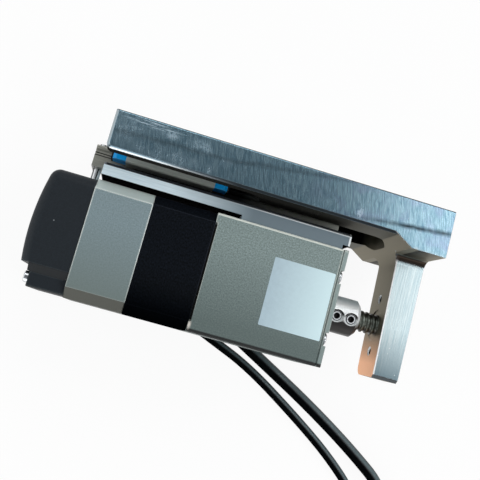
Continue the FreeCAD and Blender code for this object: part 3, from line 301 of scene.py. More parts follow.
def looked_at(tree):
    """1 for rays from the camera, a mirror or glass, and 0 for light on its way to the part."""
    path = add(tree, "LightPath", {}).outputs
    seen = path["Is Camera Ray"]
    for ray in ("Is Glossy Ray", "Is Transmission Ray"):
        seen = add(tree, "Math", {0: seen, 1: path[ray]}, operation="ADD", use_clamp=True).outputs[0]
    return seen


table_mesh = bpy.data.meshes.new("table_top")
shape = bmesh.new()
bmesh.ops.create_grid(shape, x_segments=1, y_segments=1, size=TABLE_SIDE / 2)
shape.to_mesh(table_mesh)
shape.free()
table = bpy.data.objects.new("table_top", table_mesh)
table.location.z = cad_low.z
bpy.context.scene.collection.objects.link(table)

table_paint = bpy.data.materials.new("pale_table")
table_paint.use_nodes = True
tree = table_paint.node_tree
tree.nodes.clear()
own = add(tree, "Math", {0: looked_at(tree), 1: TABLE_OWN_WHITE}, operation="MULTIPLY")
paint = add(tree, "BsdfDiffuse", {"Color": linear("#f6f6f4")})
glow = add(tree, "Emission", {"Color": linear("#ffffff"), "Strength": 1.0})
both = add(tree, "MixShader", {0: own.outputs[0], 1: paint.outputs[0], 2: glow.outputs[0]})
add(tree, "OutputMaterial", {"Surface": both.outputs[0]})
table_mesh.materials.append(table_paint)
print("table at", round(cad_low.z / MM, 2), "mm")

# %% [markdown]
# Bare metal shows what stands around it, so the room and the lamps decide where it is bright. The room is
# dim overhead and brighter lower down, and its lowest part is a white backdrop that only the camera and
# mirrors see. The soft box on the right shows in the bracket's free end, and the low one in front shows in
# the bar's lower edge. The high one, front right, reaches the guide's caps under the bar. The left, back and
# far ones fill in the motor's sides and the cables.

# %% Surroundings and lamps
ROOM_LOW = 0.5
ROOM_OVERHEAD = 0.12
ROOM_DIMS = (0.5, 0.97)
BACKDROP_TOP = 0.15
BACKDROP_FADE = 0.2

world = bpy.data.worlds.new("studio")
bpy.context.scene.world = world
world.use_nodes = True
tree = world.node_tree
tree.nodes.clear()
around = add(tree, "TexCoord", {})
direction = add(tree, "SeparateXYZ", {0: around.outputs["Generated"]})
brightness = add(tree, "MapRange", {
    "Value": direction.outputs["Z"], "From Min": ROOM_DIMS[0], "From Max": ROOM_DIMS[1],
    "To Min": ROOM_LOW, "To Max": ROOM_OVERHEAD})
room = add(tree, "Background", {"Color": linear("#eef4fb"), "Strength": brightness.outputs[0]})
low = add(tree, "MapRange", {
    "Value": direction.outputs["Z"], "From Min": BACKDROP_FADE, "From Max": BACKDROP_TOP})
own = add(tree, "Math", {0: looked_at(tree), 1: low.outputs[0]}, operation="MULTIPLY")
backdrop = add(tree, "Background", {"Color": linear("#fcfcfc"), "Strength": 1.0})
both = add(tree, "MixShader", {0: own.outputs[0], 1: room.outputs[0], 2: backdrop.outputs[0]})
add(tree, "OutputWorld", {"Surface": both.outputs[0]})


def soft_lamp(name, place, target, side, watts):
    """A square soft box that faces its target."""
    data = bpy.data.lights.new(name, "AREA")
    data.shape = "SQUARE"
    data.size = side
    data.energy = watts
    lamp = bpy.data.objects.new(name, data)
    lamp.location = place
    lamp.rotation_euler = (Vector(target) - Vector(place)).to_track_quat("-Z", "Y").to_euler()
    bpy.context.scene.collection.objects.link(lamp)


soft_lamp("right_soft_box", (0.56, 0.08, 0.73), (0, 0.02, 0), 0.64, 1.5)
soft_lamp("left_soft_box", (-0.78, -0.12, 0.50), (-0.05, 0, 0), 0.8, 2.3)
soft_lamp("back_soft_box", (-0.05, 0.62, 0.72), (-0.03, 0, 0), 0.5, 1.8)
soft_lamp("high_soft_box", (0.58, -0.34, 0.76), (-0.03, 0.02, 0), 0.3, 1.7)
soft_lamp("far_soft_box", (0.42, 0.42, 0.60), (0, -0.05, 0), 0.3, 0.9)
soft_lamp("low_soft_box", (-0.25, -0.75, 0.22), (-0.06, 0.03, 0.02), 0.35, 1.4)
bpy.context.scene.view_settings.view_transform = "Standard"
print("lamps:", len(bpy.data.lights))

# %% [markdown]
# Most finishes share one build. A noise texture gives a two-tone grain and a low relief of a stated size,
# and may be stretched into streaks. A Bevel node rounds the normals at the edges, which catches light
# there as a real broken edge does, and where it bends them most a second tone is a painted highlight.
# More tones are laid over this by place, by the way a face looks, or by a coarser noise, and many of them
# are painted light or shade.

# %% The shared build of a finish
EDGE_BEND = (0.995, 0.95)
FLAT = (0.5, 0.9)
SLANTED = (0.3, 0.6)
SLANTED_BACK = (-0.3, -0.6)


class Finish:
    """A material under construction: its tree, shader, place on the part, grain, edges and colour."""

    def __init__(self, name, dark, light, grain_mm, stretch=(1, 1, 1), contrast=(0.35, 0.65), relief_mm=0.01,
                 turn=0, edge_mm=0.3, edge_highlight=None, **shader):
        self.material = bpy.data.materials.new(name)
        self.material.use_nodes = True
        self.tree = self.material.node_tree
        self.tree.nodes.clear()
        self.place = add(self.tree, "TexCoord", {}).outputs["Object"]
        self.at = add(self.tree, "SeparateXYZ", {0: self.place}).outputs
        geometry = add(self.tree, "NewGeometry", {}).outputs["Normal"]
        self.facing = add(self.tree, "SeparateXYZ", {0: geometry}).outputs
        self.grain = self.noise(grain_mm, contrast, stretch, turn)
        self.colour = add(self.tree, "Mix", {
            0: self.grain, 6: linear(dark), 7: linear(light)}, data_type="RGBA").outputs[2]
        soft_edge = add(self.tree, "Bevel", {"Radius": edge_mm * MM}, samples=8).outputs[0]
        bend = add(self.tree, "VectorMath", {0: soft_edge, 1: geometry}, operation="DOT_PRODUCT")
        self.edge = self.span(bend.outputs["Value"], *EDGE_BEND)
        # The edge tone is a painted highlight, where light would catch the edge.
        if edge_highlight:
            self.tint(self.edge, edge_highlight)
        relief = add(self.tree, "Bump", {
            "Strength": 0.5, "Distance": relief_mm * MM, "Height": self.grain, "Normal": soft_edge})
        self.shader = add(self.tree, "BsdfPrincipled", {"Normal": relief.outputs[0], **shader})
        add(self.tree, "OutputMaterial", {"Surface": self.shader.outputs[0]})

    def noise(self, size_mm, contrast, stretch=(1, 1, 1), turn=0):
        """A cloudy pattern from 0 to 1 with blobs of about that size, stretched, then turned about Z."""
        stretched = add(self.tree, "Mapping", {
            "Vector": self.place, "Scale": stretch,
            "Rotation": (0, 0, math.radians(turn))}, vector_type="TEXTURE")
        cloud = add(self.tree, "TexNoise", {
            "Vector": stretched.outputs[0], "Scale": 1 / (size_mm * MM), "Detail": 4, "Roughness": 0.6})
        return self.span(cloud.outputs[0], *contrast)

    def span(self, value, start, end):
        """0 where the value is at start, 1 where it is at end."""
        return add(self.tree, "MapRange", {"Value": value, "From Min": start, "From Max": end}).outputs[0]

    def where(self, axis, start_mm, end_mm):
        """0 to 1 by the place along one axis of the part."""
        return self.span(self.at[axis], start_mm * MM, end_mm * MM)

    def turned(self, axis, start, end):
        """0 to 1 by how far the surface faces along one axis, from -1 to 1."""
        return self.span(self.facing[axis], start, end)

    def within(self, distance, radius_mm, fade_mm):
        """1 nearer than the radius, and 0 past a short fade."""
        return self.span(distance, (radius_mm + fade_mm) * MM, radius_mm * MM)

    def math(self, operation, *values):
        """One Math node."""
        return add(self.tree, "Math", dict(enumerate(values)), operation=operation).outputs[0]

    def both(self, *masks):
        """The product of masks or plain numbers, so 1 only where all of them are 1."""
        result = masks[0]
        for mask in masks[1:]:
            result = self.math("MULTIPLY", result, mask)
        return result

    def vector(self, operation, first, second, output=0):
        """One Vector Math node."""
        return add(self.tree, "VectorMath", {0: first, 1: second}, operation=operation).outputs[output]

    def from_axis(self, point_mm, direction):
        """The distance from a line, which is the length of a cross product."""
        apart = self.vector("SUBTRACT", self.place, Vector(point_mm) * MM)
        return self.vector("LENGTH", self.vector("CROSS_PRODUCT", apart, direction), (0, 0, 0), "Value")

    def patch(self, x, y, half_x, half_y):
        """A soft oval on the side that looks up, with its middle and half sizes in mm."""
        apart = self.vector("SUBTRACT", self.place, Vector((x, y, 0)) * MM)
        share = self.vector("MULTIPLY", apart, (1 / (half_x * MM), 1 / (half_y * MM), 0))
        return self.span(self.vector("LENGTH", share, (0, 0, 0), "Value"), 1, 0.2)

    def tint(self, amount, code):
        """Mixes one more tone over the colour made so far."""
        self.colour = add(self.tree, "Mix", {
            0: amount, 6: self.colour, 7: linear(code)}, data_type="RGBA").outputs[2]

    def vary(self, socket, amount, end):
        """Moves a shader value from the one written to another as the amount goes from 0 to 1."""
        start = self.shader.inputs[socket].default_value
        changed = add(self.tree, "MapRange", {"Value": amount, "To Min": start, "To Max": end})
        self.tree.links.new(changed.outputs[0], self.shader.inputs[socket])

    def glance(self, amount, code):
        """Tints what a bare metal mirrors at a flat angle, where even a dark one would turn white."""
        tint = add(self.tree, "Mix", {0: amount, 6: linear("#ffffff"), 7: linear(code)}, data_type="RGBA")
        self.tree.links.new(tint.outputs[2], self.shader.inputs["Specular Tint"])

    def done(self):
        """Gives the shader its colour and returns the material."""
        self.tree.links.new(self.colour, self.shader.inputs["Base Color"])
        return self.material


finishes = {}
print("a finish has:", [word for word in vars(Finish) if not word.startswith("_")])

# %% [markdown]
# The bracket is milled aluminium, and its grain runs across the bar in fine streaks. Its sides are a neutral
# grey and its sawn ends are plainer. The side that looks up is painted bluer, as a painted reflection, and
# the arm's front has longer, paler streaks that darken towards its tip.

# %% Milled aluminium of the bracket
ARM_X = (20, 21)
ARM_BELOW_Y = (28, 24)
ARM_DARKENS_Y = (0, -19)

bracket = Finish(
    "milled_bracket_aluminium", "#a5b1b8", "#c6d0d5", 0.32, stretch=(1, 10, 10), contrast=(0.36, 0.64),
    turn=13, relief_mm=0.003, edge_mm=0.4, Roughness=0.21, Metallic=1.0)
sawn_ends = bracket.span(bracket.math("ABSOLUTE", bracket.facing["X"]), *FLAT)
bracket.tint(bracket.math("MULTIPLY", sawn_ends, 0.8), "#b7c2c8")
up_facing = bracket.turned("Z", *FLAT)
# The side that looks up: a bluer tone, a painted reflection.
bracket.tint(up_facing, "#7ba4b8")
bracket.tint(bracket.both(up_facing, bracket.grain), "#b3d5e3")
arm_front = bracket.both(up_facing, bracket.where("Y", *ARM_BELOW_Y), bracket.where("X", *ARM_X))
streaks = bracket.noise(0.35, (0.24, 0.76), (1, 35, 35))
bracket.tint(bracket.math("MULTIPLY", arm_front, 0.8), "#b9d0d6")
bracket.tint(bracket.both(arm_front, streaks, 0.75), "#f0f8f7")
bracket.tint(bracket.both(arm_front, bracket.where("Y", *ARM_DARKENS_Y), 0.9), "#5c727c")
print("begun:", bracket.material.name)

# %% [markdown]
# Years of handling show on the bracket: a violet bloom, cloudy scuffs, fine scratches and small nicks. Two
# dark wavy lines across the bar are a painted reflection of an edge in the room. A scuff is a soft oval
# broken up by two noises. A reflected line is a sloping line across the bar, made wavy by adding a noise to
# the place before it is compared.

# %% Marks of use and painted reflections on the bracket
BLOOM_X = (-25, -5)
BLOOM_Y = (28, 30)
SCUFFS = [
    (-61, 39.4, 6, 3, 0.8), (-55.4, 33.3, 1.2, 3.2, 0.9), (-72, 33.4, 19, 3.4, 0.45),
    (-1.5, 33.5, 2.4, 3, 0.7), (-84, 38, 12, 8, 0.4), (-84.5, 41.6, 3.5, 2.2, 1),
    (-71, 40.6, 6, 2, 0.8), (-50.5, 36.6, 2.5, 2.5, 0.7),
]
SCRATCHED = (-76, 42.1, 13, 1.8)
REFLECTED_LINE_W = (1.3, 0.1)
REFLECTED_LINE_WAVE = 0.9
FRONT_REFLECTION_X = (-8, 14)

clouds = bracket.both(
    bracket.noise(7, (0.45, 0.7)), bracket.where("X", *BLOOM_X), bracket.where("Y", *BLOOM_Y), up_facing)
bracket.tint(bracket.math("MULTIPLY", clouds, 0.4), "#a7a9d2")
scuffed = 0
for *oval, strength in SCUFFS:
    patch = bracket.math("MULTIPLY", bracket.patch(*oval), strength)
    scuffed = bracket.math("MAXIMUM", scuffed, patch)
broken_up = bracket.noise(0.4, (0.28, 0.74), (1, 2.5, 1))
scuffs = bracket.both(scuffed, broken_up, bracket.noise(4, (0.32, 0.62)), up_facing)
scratches = bracket.both(bracket.patch(*SCRATCHED), bracket.noise(0.4, (0.48, 0.62), (25, 1, 1)), up_facing)
scuffs = bracket.math("MAXIMUM", scuffs, scratches)
bracket.tint(bracket.math("MULTIPLY", scuffs, 0.8), "#dbe4ee")
nicks = bracket.both(bracket.noise(1.3, (0.70, 0.74)), up_facing)
bracket.tint(nicks, "#f2f6f8")

# Two dark wavy lines: a painted reflection of an edge in the room, mirrored across the bar.
rear_low = bracket.math("MULTIPLY_ADD", bracket.at["X"], 0.035, 39.9 * MM)
rear_high = bracket.math("MULTIPLY_ADD", bracket.at["X"], 0.135, 44.8 * MM)
rear_reflection = bracket.math("MAXIMUM", rear_low, rear_high)
front_reflection = bracket.math("MULTIPLY_ADD", bracket.at["X"], 0.095, 32.46 * MM)
wave = bracket.math("MULTIPLY_ADD", bracket.noise(7, (0.2, 0.8)), REFLECTED_LINE_WAVE * MM, -REFLECTED_LINE_WAVE / 2 * MM)
patchy = bracket.math("MULTIPLY_ADD", bracket.noise(2.5, (0.3, 0.7)), 0.5, 0.5)
for line, strength in ((rear_reflection, 0.4), (front_reflection, bracket.where("X", *FRONT_REFLECTION_X))):
    apart = bracket.math("SUBTRACT", bracket.math("ADD", bracket.at["Y"], wave), line)
    reflected_line = bracket.span(bracket.math("ABSOLUTE", apart), REFLECTED_LINE_W[0] * MM, REFLECTED_LINE_W[1] * MM)
    bracket.tint(bracket.both(reflected_line, patchy, up_facing, strength), "#131d25")
print("scuffs:", len(SCUFFS))

# %% [markdown]
# A milled edge is broken by a narrow bevel, and each one here mirrors something else. The bevels are too
# narrow for a mirrored lamp to show reliably, so what they mirror is painted on by the way they face: the
# upper edge has a dark painted reflection, the lower one a bright painted highlight with a dark stretch, and
# the arm's inner edge a white painted highlight. The fillet at the arm's root is painted dark, as shade.

# %% Edges of the bracket
BAR_REAR_X = (-87, -88)
BAR_UPPER_Y = (42.5, 43)
BAR_LOWER_Y = (31.8, 31.4)
LOWER_BEVEL_Y = (30.75, 30.95)
DARK_STRETCH_X = (-72, -45)
ARM_EDGE_X = (22.75, 22.5)
ARM_TAPER = 0.0302
ARM_TIP_Y = (-17.9, -18.3)

rear_end = bracket.both(bracket.turned("X", *SLANTED_BACK), bracket.where("X", *BAR_REAR_X))
bracket.tint(rear_end, "#a4b0b6")
# Painted reflections and highlights on the narrow bevels, by the way they face.
upper_edge = bracket.both(bracket.turned("Y", *SLANTED), bracket.turned("Z", *SLANTED))
near_upper_edge = bracket.both(bracket.edge, bracket.where("Y", *BAR_UPPER_Y), 0.75)
bracket.tint(bracket.math("MAXIMUM", upper_edge, near_upper_edge), "#38434a")
lower_edge = bracket.both(bracket.turned("Y", *SLANTED_BACK), bracket.turned("Z", *SLANTED))
bracket.tint(lower_edge, "#a4aaad")
bracket.tint(bracket.both(lower_edge, bracket.where("Y", *LOWER_BEVEL_Y)), "#55666f")
bracket.tint(bracket.both(lower_edge, bracket.where("X", *DARK_STRETCH_X)), "#33393d")
near_lower_edge = bracket.both(bracket.edge, up_facing, bracket.where("Y", *BAR_LOWER_Y), 0.6)
bracket.tint(near_lower_edge, "#dbe9f0")
from_arm_edge = bracket.math("MULTIPLY_ADD", bracket.at["Y"], ARM_TAPER, bracket.at["X"])
arm_edge = bracket.both(arm_front, bracket.span(from_arm_edge, ARM_EDGE_X[0] * MM, ARM_EDGE_X[1] * MM))
bracket.tint(arm_edge, "#ffffff")
# The fillet at the arm's root, where it looks to the front: painted shade.
root = bracket.both(bracket.turned("Y", -0.12, -0.5), bracket.where("X", *ARM_X))
bracket.tint(bracket.both(root, bracket.turned("Z", 0.2, 0.5)), "#40362f")
print("edges done")

# %% [markdown]
# The undersides and the arm's inner face are rougher than clean metal, and their colour is painted light and
# shade: dark shade far from the arm, lighter towards it, and a warm brown painted reflection that turns to a
# bright copper tan near the tip. The corner under the arm's front and the pocket over the rail are painted
# dark as shade, and the bevel at the arm's tip is darker. Each tool hole has painted shade in its bore and a
# painted highlight on its rim. A rim and the arm's edge are not metal here, so that these painted highlights
# stay white wherever the camera stands.

# %% Undersides, pocket and holes of the bracket
SLOPE_X = (13.5, 14.5)
TOWARDS_ARM_X = (-22, 14)
CORNER_FROM_X = (22.2, 22.7)
CORNER_FADES_X = (31, 22)
TAN_REFLECTION_Y = (-3, -14.5)
POCKET_Z = (2, 0)
TOOL_HOLE_Y = (-10, 10)
TOOL_HOLE_RIM_R = 1.85
DULL_ROUGHNESS = 0.5

under = bracket.both(bracket.turned("Y", *SLANTED_BACK), bracket.turned("Z", 0.5, 0.2))
slope = bracket.both(under, bracket.where("X", *SLOPE_X))
inner = bracket.both(bracket.turned("X", *SLANTED_BACK), bracket.where("X", 0, 1))
painted_underside = bracket.math("MAXIMUM", under, inner)
bracket.vary("Roughness", bracket.math("MAXIMUM", scuffs, painted_underside), DULL_ROUGHNESS)
# Painted shade and a warm painted reflection on the undersides and the arm's inner face.
bracket.tint(painted_underside, "#4b4a46")
towards_arm = bracket.where("X", *TOWARDS_ARM_X)
bracket.tint(bracket.math("MULTIPLY", painted_underside, towards_arm), "#6e6d65")
bracket.tint(bracket.math("MAXIMUM", slope, inner), "#8c8677")
# The corner under the arm's front: painted shade.
corner = bracket.both(under, bracket.where("X", *CORNER_FROM_X), bracket.where("X", *CORNER_FADES_X))
bracket.tint(corner, "#1a1512")
# A bright copper tan towards the tip: a painted reflection.
towards_tip = bracket.where("Y", *TAN_REFLECTION_Y)
bracket.tint(bracket.math("MULTIPLY", inner, towards_tip), "#fcc49b")
lit = bracket.math("MAXIMUM", towards_tip, bracket.math("MULTIPLY", towards_arm, 0.7))
# Where no light reaches, what the metal mirrors is dimmed: painted shade.
bracket.glance(bracket.both(painted_underside, bracket.math("SUBTRACT", 1, lit)), "#2b2b29")
# The pocket over the rail: painted shade.
bracket.tint(bracket.both(up_facing, bracket.where("Z", *POCKET_Z)), "#191815")
painted_highlights = arm_edge
for y in TOOL_HOLE_Y:
    hole = bracket.within(bracket.from_axis((0, y, 0), (1, 0, 0)), TOOL_HOLE_RIM_R, 0.05)
    # Painted shade in the bore, and below it a painted highlight on the rim.
    bracket.tint(bracket.both(hole, bracket.turned("X", -0.5, -0.3)), "#0b0a09")
    rim = bracket.both(hole, bracket.turned("X", -0.95, -0.8), bracket.turned("X", -0.3, -0.5))
    bracket.tint(rim, "#ffffff")
    painted_highlights = bracket.math("MAXIMUM", painted_highlights, rim)
bracket.vary("Metallic", painted_highlights, 0.0)
bracket.tint(bracket.both(bracket.where("Y", *ARM_TIP_Y), bracket.turned("Z", *SLANTED)), "#54595c")
finishes["bracket_aluminium"] = bracket.done()
print("made:", bracket.material.name, "with", len(bracket.tree.nodes), "nodes")

# %% [markdown]
# The guide plate is satin aluminium with fine streaks along the rail. Its upper bevel is polished like a
# mirror, and its tone is also painted dark, as a painted reflection of the dark gap above it. The plate is
# paler at its rear end, a painted highlight runs along its front half and its free end, and its underside,
# which only the motor faces, is painted nearly black as shade.

# %% Satin and polished aluminium of the guide plate
PLATE_DARKENS_X = (-66, -36)
PLATE_FRONT_X = (-48, -30)
PLATE_END_X = (-0.75, -0.6)

plate = Finish(
    "satin_plate_aluminium", "#cfe2ea", "#e1f1f7", 0.3, stretch=(30, 1, 1), relief_mm=0.003, edge_mm=0.4,
    Roughness=0.42, Metallic=0.3)
plate.tint(plate.where("X", *PLATE_DARKENS_X), "#6f7e86")
# The polished bevel: darkened as a painted reflection of the gap above it.
polished = plate.turned("Y", *SLANTED)
plate.tint(polished, "#5d646b")
front_half = plate.where("X", *PLATE_FRONT_X)
# A painted highlight along the front half's upper edge and on the free end.
upper_highlight = plate.both(plate.where("Y", 25.7, 25.85), plate.where("Y", 26.45, 26.3))
end_highlight = plate.both(plate.where("X", *PLATE_END_X), plate.turned("Z", *FLAT))
plate.tint(plate.math("MAXIMUM", plate.both(upper_highlight, front_half, 0.7), end_highlight), "#f2f7f8")
# The underside: painted shade, with its mirrored light dimmed too.
underside = plate.turned("Y", *SLANTED_BACK)
plate.tint(underside, "#0a0b0c")
plate.glance(underside, "#101112")
plate.vary("Roughness", polished, 0.07)
plate.vary("Metallic", plate.math("MAXIMUM", plate.math("MULTIPLY", polished, 0.5), underside), 1.0)
finishes["plate_aluminium"] = plate.done()
print("made:", plate.material.name)

# %% [markdown]
# The rear bracket, the front housing and the flange are castings with a fine blasted skin. The rear one is
# a cool smooth grey. The housing and its flange are a little more olive and coarser in grain. Both have
# painted highlights along their edges, an upper chamfer painted paler as lit and a lower one painted darker
# as shade, and faces that are darker towards the bottom.

# %% Blasted grey casting
casting = Finish(
    "blasted_grey_casting", "#6f8185", "#8b9ca0", 0.5, contrast=(0.3, 0.7), relief_mm=0.01, edge_mm=0.7,
    edge_highlight="#d9e0d9", Roughness=0.5, Metallic=0.15)
# Painted light and shade: a paler upper chamfer, a darker lower one, and highlights on the edges above the
# bottom.
casting.tint(casting.turned("Y", 0.4, 0.6), "#c6d4d0")
casting.tint(casting.math("MULTIPLY", casting.where("Y", 8, -20), 0.8), "#6a756f")
casting.tint(casting.turned("Y", -0.4, -0.6), "#45463e")
casting.tint(casting.both(casting.edge, casting.where("Y", -19, 0)), "#e6ece6")
finishes["grey_casting"] = casting.done()
print("made:", casting.material.name)

# %% [markdown]
# The housing's upper chamfer is painted paler as lit and its lower one darker as shade, its face is darker
# towards the bottom, and its top edge and upper edges carry painted highlights. Its lower edge is a dark band
# of painted shade, the flange's strip is paler, and the rear corner below is paler. The housing's narrow
# relief next to the stator is painted dark, as the shade in it.

# %% Blasted olive casting
TOP_LINE_Y = (20.15, 20.3)
FLANGE_X = (-1.95, -1.85)
LOWER_BAND_Y = (-19.6, -20)
PALE_CORNER = (-47.6, -18.6, 0.9, 2)
RELIEF_X = -47.25
RELIEF_HALF = 16.8

housing = Finish(
    "blasted_olive_casting", "#637270", "#93a3a0", 0.5, contrast=(0.34, 0.66), relief_mm=0.012, edge_mm=0.6,
    Roughness=0.5, Metallic=0.15)
# Painted light and shade: a paler upper chamfer, a darker lower one, and highlights on the top and upper
# edges.
housing.tint(housing.turned("Y", 0.4, 0.6), "#e6ece4")
housing.tint(housing.turned("Y", -0.4, -0.6), "#59625f")
housing.tint(housing.math("MULTIPLY", housing.where("Y", 12, -16), 0.75), "#4f5c59")
top_line = housing.both(housing.where("Y", *TOP_LINE_Y), housing.turned("Z", *FLAT))
upper_edges = housing.both(housing.edge, housing.where("Y", -16, -8), 0.7)
housing.tint(housing.math("MAXIMUM", upper_edges, top_line), "#dfe4da")
seen_from_above = housing.turned("Z", *SLANTED)
housing.tint(housing.both(housing.where("X", *FLANGE_X), seen_from_above, 0.6), "#93a29f")
# The lower edge: a dark band of painted shade.
housing.tint(housing.both(housing.where("Y", *LOWER_BAND_Y), seen_from_above), "#171a19")
housing.tint(housing.both(housing.patch(*PALE_CORNER), seen_from_above), "#d5cec4")
from_middle = [housing.math("ABSOLUTE", housing.at[axis]) for axis in "YZ"]
sideways = housing.math("MINIMUM", *from_middle)
# The narrow relief next to the stator: painted shade.
relief = housing.both(
    housing.within(housing.at["X"], RELIEF_X, 0.05), housing.within(sideways, RELIEF_HALF, 0.1))
housing.tint(relief, "#030404")
finishes["olive_casting"] = housing.done()
print("made:", housing.material.name)

# %% [markdown]
# The black pieces differ mostly in how they shine. The stator is a pack of lacquered sheets with a pebbly
# skin. Single sheets are too fine to draw. The rear cover is a moulding with an even skin and two pale dots
# where the melt came in, and its faces that look down are painted a little darker as shade. Both shine
# little, like dusty plastic, and the stator's lower end, which is also darker, not at all. Both have painted
# highlights at their edges.

# %% Black lacquer and black moulding
lamination = Finish(
    "lacquered_lamination", "#030507", "#151a22", 0.5, stretch=(0.8, 1.4, 1.4), contrast=(0.38, 0.68),
    relief_mm=0.03, edge_mm=0.5, edge_highlight="#2a2e36", Roughness=0.6, IOR=1.5, **{"Specular IOR Level": 0.05})
# The stator is darker towards its lower end.
lamination.tint(lamination.where("Y", -2, -20), "#020304")
lamination.vary("Specular IOR Level", lamination.where("Y", -8, -17), 0.0)
finishes["black_lamination"] = lamination.done()

GATE_DOTS = [(-100.3, 2.8, 0.24), (-103.1, -8.0, 0.16)]
cover = Finish(
    "moulded_black_pbt", "#171d22", "#1d242a", 0.4, relief_mm=0.006, edge_mm=0.7, edge_highlight="#3a4244",
    Roughness=0.55, IOR=1.5, **{"Specular IOR Level": 0.25})
for x, y, radius in GATE_DOTS:
    away = cover.vector("DISTANCE", cover.place, Vector((x, y, 21)) * MM, "Value")
    cover.tint(cover.span(away, 2 * radius * MM, radius * MM), "#e4ebf0")
# Faces that look down: a little darker, painted shade.
cover.tint(cover.turned("Y", -0.2, -0.5), "#14181b")
finishes["black_moulding"] = cover.done()
print("made:", lamination.material.name, cover.material.name)

# %% [markdown]
# Steel comes turned, ground or plated. Turned rings have streaks round the axis, and plated screws are nearly
# mirrors. The stop collar's shading is painted on: bright above, darkening below. Its set screws have black
# sockets and a dark ring at their thread, both painted shade, found by the distance from the set screw's
# axis.

# %% Turned and plated steel
steel = Finish(
    "turned_bright_steel", "#b9bdc0", "#d3d7da", 0.25, stretch=(0.5, 8, 8), relief_mm=0.002, edge_mm=0.25,
    edge_highlight="#eef1f2", Roughness=0.24, Metallic=1.0)
finishes["bright_steel"] = steel.done()

collar = Finish(
    "turned_collar_steel", "#eef4f4", "#ffffff", 0.25, stretch=(0.4, 8, 8), relief_mm=0.002, edge_mm=0.3,
    Roughness=0.32, Metallic=0.3)
# Painted shading of the collar: a grey tone on top and dark below.
collar.tint(collar.turned("Y", 0.5, 0.95), "#a9bac0")
collar.tint(collar.turned("Y", -0.12, -0.4), "#312e2c")
finishes["collar_steel"] = collar.done()

SET_SCREW_X = (5.3, 10.8)
SET_SCREW_AXIS = (0, -math.sin(math.radians(8)), math.cos(math.radians(8)))
SOCKET_R = 1.17
THREAD_RING_R = ((1.5, 1.6), (1.95, 1.85))
set_screw = Finish(
    "plated_set_screw", "#d6dadd", "#eef1f3", 0.3, relief_mm=0.002, edge_mm=0.2, Roughness=0.3, Metallic=0.5)
for x in SET_SCREW_X:
    socket = set_screw.from_axis((x, 0, 0), SET_SCREW_AXIS)
    # Painted shade: black in the socket and a dark ring at the thread.
    set_screw.tint(set_screw.within(socket, SOCKET_R, 0.03), "#020202")
    ring = [set_screw.span(socket, start * MM, end * MM) for start, end in THREAD_RING_R]
    set_screw.tint(set_screw.both(*ring, 0.9), "#121415")
finishes["set_screw"] = set_screw.done()
finishes["chrome_screw"] = Finish(
    "bright_plated_screw", "#c6c9cc", "#dfe2e4", 0.3, relief_mm=0.002, Roughness=0.26, Metallic=1.0).done()
print("made:", steel.material.name, collar.material.name, set_screw.material.name)

# %% [markdown]
# The guide is ground, so its streaks run along the rail. The rail has two dark lines of painted shade in the
# grooves where the balls run. Away from its rear end it is painted dark as the shade under the bar, and it is
# painted paler towards its front end, as light on its side. The stop pin through the rail's rear end is
# polished: its dark stripes stand for what a mirror as thin as that would show.

# %% Ground guide, rail and stop pin
guide = Finish(
    "ground_guide_steel", "#b4bab3", "#c6ccc4", 0.3, stretch=(14, 0.7, 0.7), relief_mm=0.003, edge_mm=0.25,
    edge_highlight="#c4c8c0", Roughness=0.3, Metallic=0.2)
finishes["guide_steel"] = guide.done()

RACE_LINE_Y = (31.3, 32.3)
rail = Finish(
    "shaded_rail_steel", "#9a9a8f", "#b3b3a8", 0.3, stretch=(14, 0.7, 0.7), relief_mm=0.003, edge_mm=0.3,
    edge_highlight="#d2d0c4", Roughness=0.3, Metallic=0.2)
# Painted shade in the two grooves where the balls run.
for y in RACE_LINE_Y:
    apart = rail.math("ABSOLUTE", rail.math("SUBTRACT", rail.at["Y"], y * MM))
    rail.tint(rail.span(apart, 0.3 * MM, 0.15 * MM), "#211f1b")
# Painted shade under the bar, then painted light towards the front end.
rail.tint(rail.where("X", -88, -80), "#0e1111")
rail.tint(rail.where("X", -40, 0), "#c9ccc2")
finishes["rail_steel"] = rail.done()

pin = Finish("polished_pin_steel", "#eef1f2", "#ffffff", 0.3, relief_mm=0.001, Roughness=0.2, Metallic=0.3)
for middle, half, tone in ((0.3, 0.17, "#060708"), (-0.9, 0.3, "#3a3d40")):
    apart = pin.math("ABSOLUTE", pin.math("SUBTRACT", pin.facing["X"], middle))
    pin.tint(pin.span(apart, half, 0.7 * half), tone)
finishes["pin_steel"] = pin.done()
print("made:", guide.material.name, rail.material.name, pin.material.name)

# %% [markdown]
# The screw's groove is darker, with old brown grease in smears. The two sides of the rod are painted dark
# brown, as shade with grease in it, deepest in the groove. The distance from the screw's axis finds the
# groove, and the height on the rod finds its sides.

# %% Greased steel of the ball screw
GROOVE_R = (3.93, 3.6)
ROD_SIDE_Y = (1.2, 3.2)

greased = Finish(
    "greased_screw_steel", "#666d65", "#8b928a", 0.5, relief_mm=0.01, edge_mm=0.1,
    Roughness=0.32, Metallic=0.6)
from_screw = greased.from_axis((0, 0, 0), (1, 0, 0))
groove = greased.span(from_screw, GROOVE_R[0] * MM, GROOVE_R[1] * MM)
shaded_greasy_sides = greased.span(greased.math("ABSOLUTE", greased.at["Y"]), ROD_SIDE_Y[0] * MM, ROD_SIDE_Y[1] * MM)
greased.tint(greased.math("MULTIPLY", groove, 0.4), "#44463e")
# The rod's two sides: painted shade, brown with grease, deepest in the groove.
greased.tint(greased.math("MULTIPLY", shaded_greasy_sides, 0.8), "#3a3020")
greased.tint(greased.both(groove, shaded_greasy_sides), "#140e07")
smears = greased.both(greased.noise(1.4, (0.5, 0.6)), 0.6)
greased.tint(smears, "#2f271d")
finishes["screw_steel"] = greased.done()
print("made:", greased.material.name)

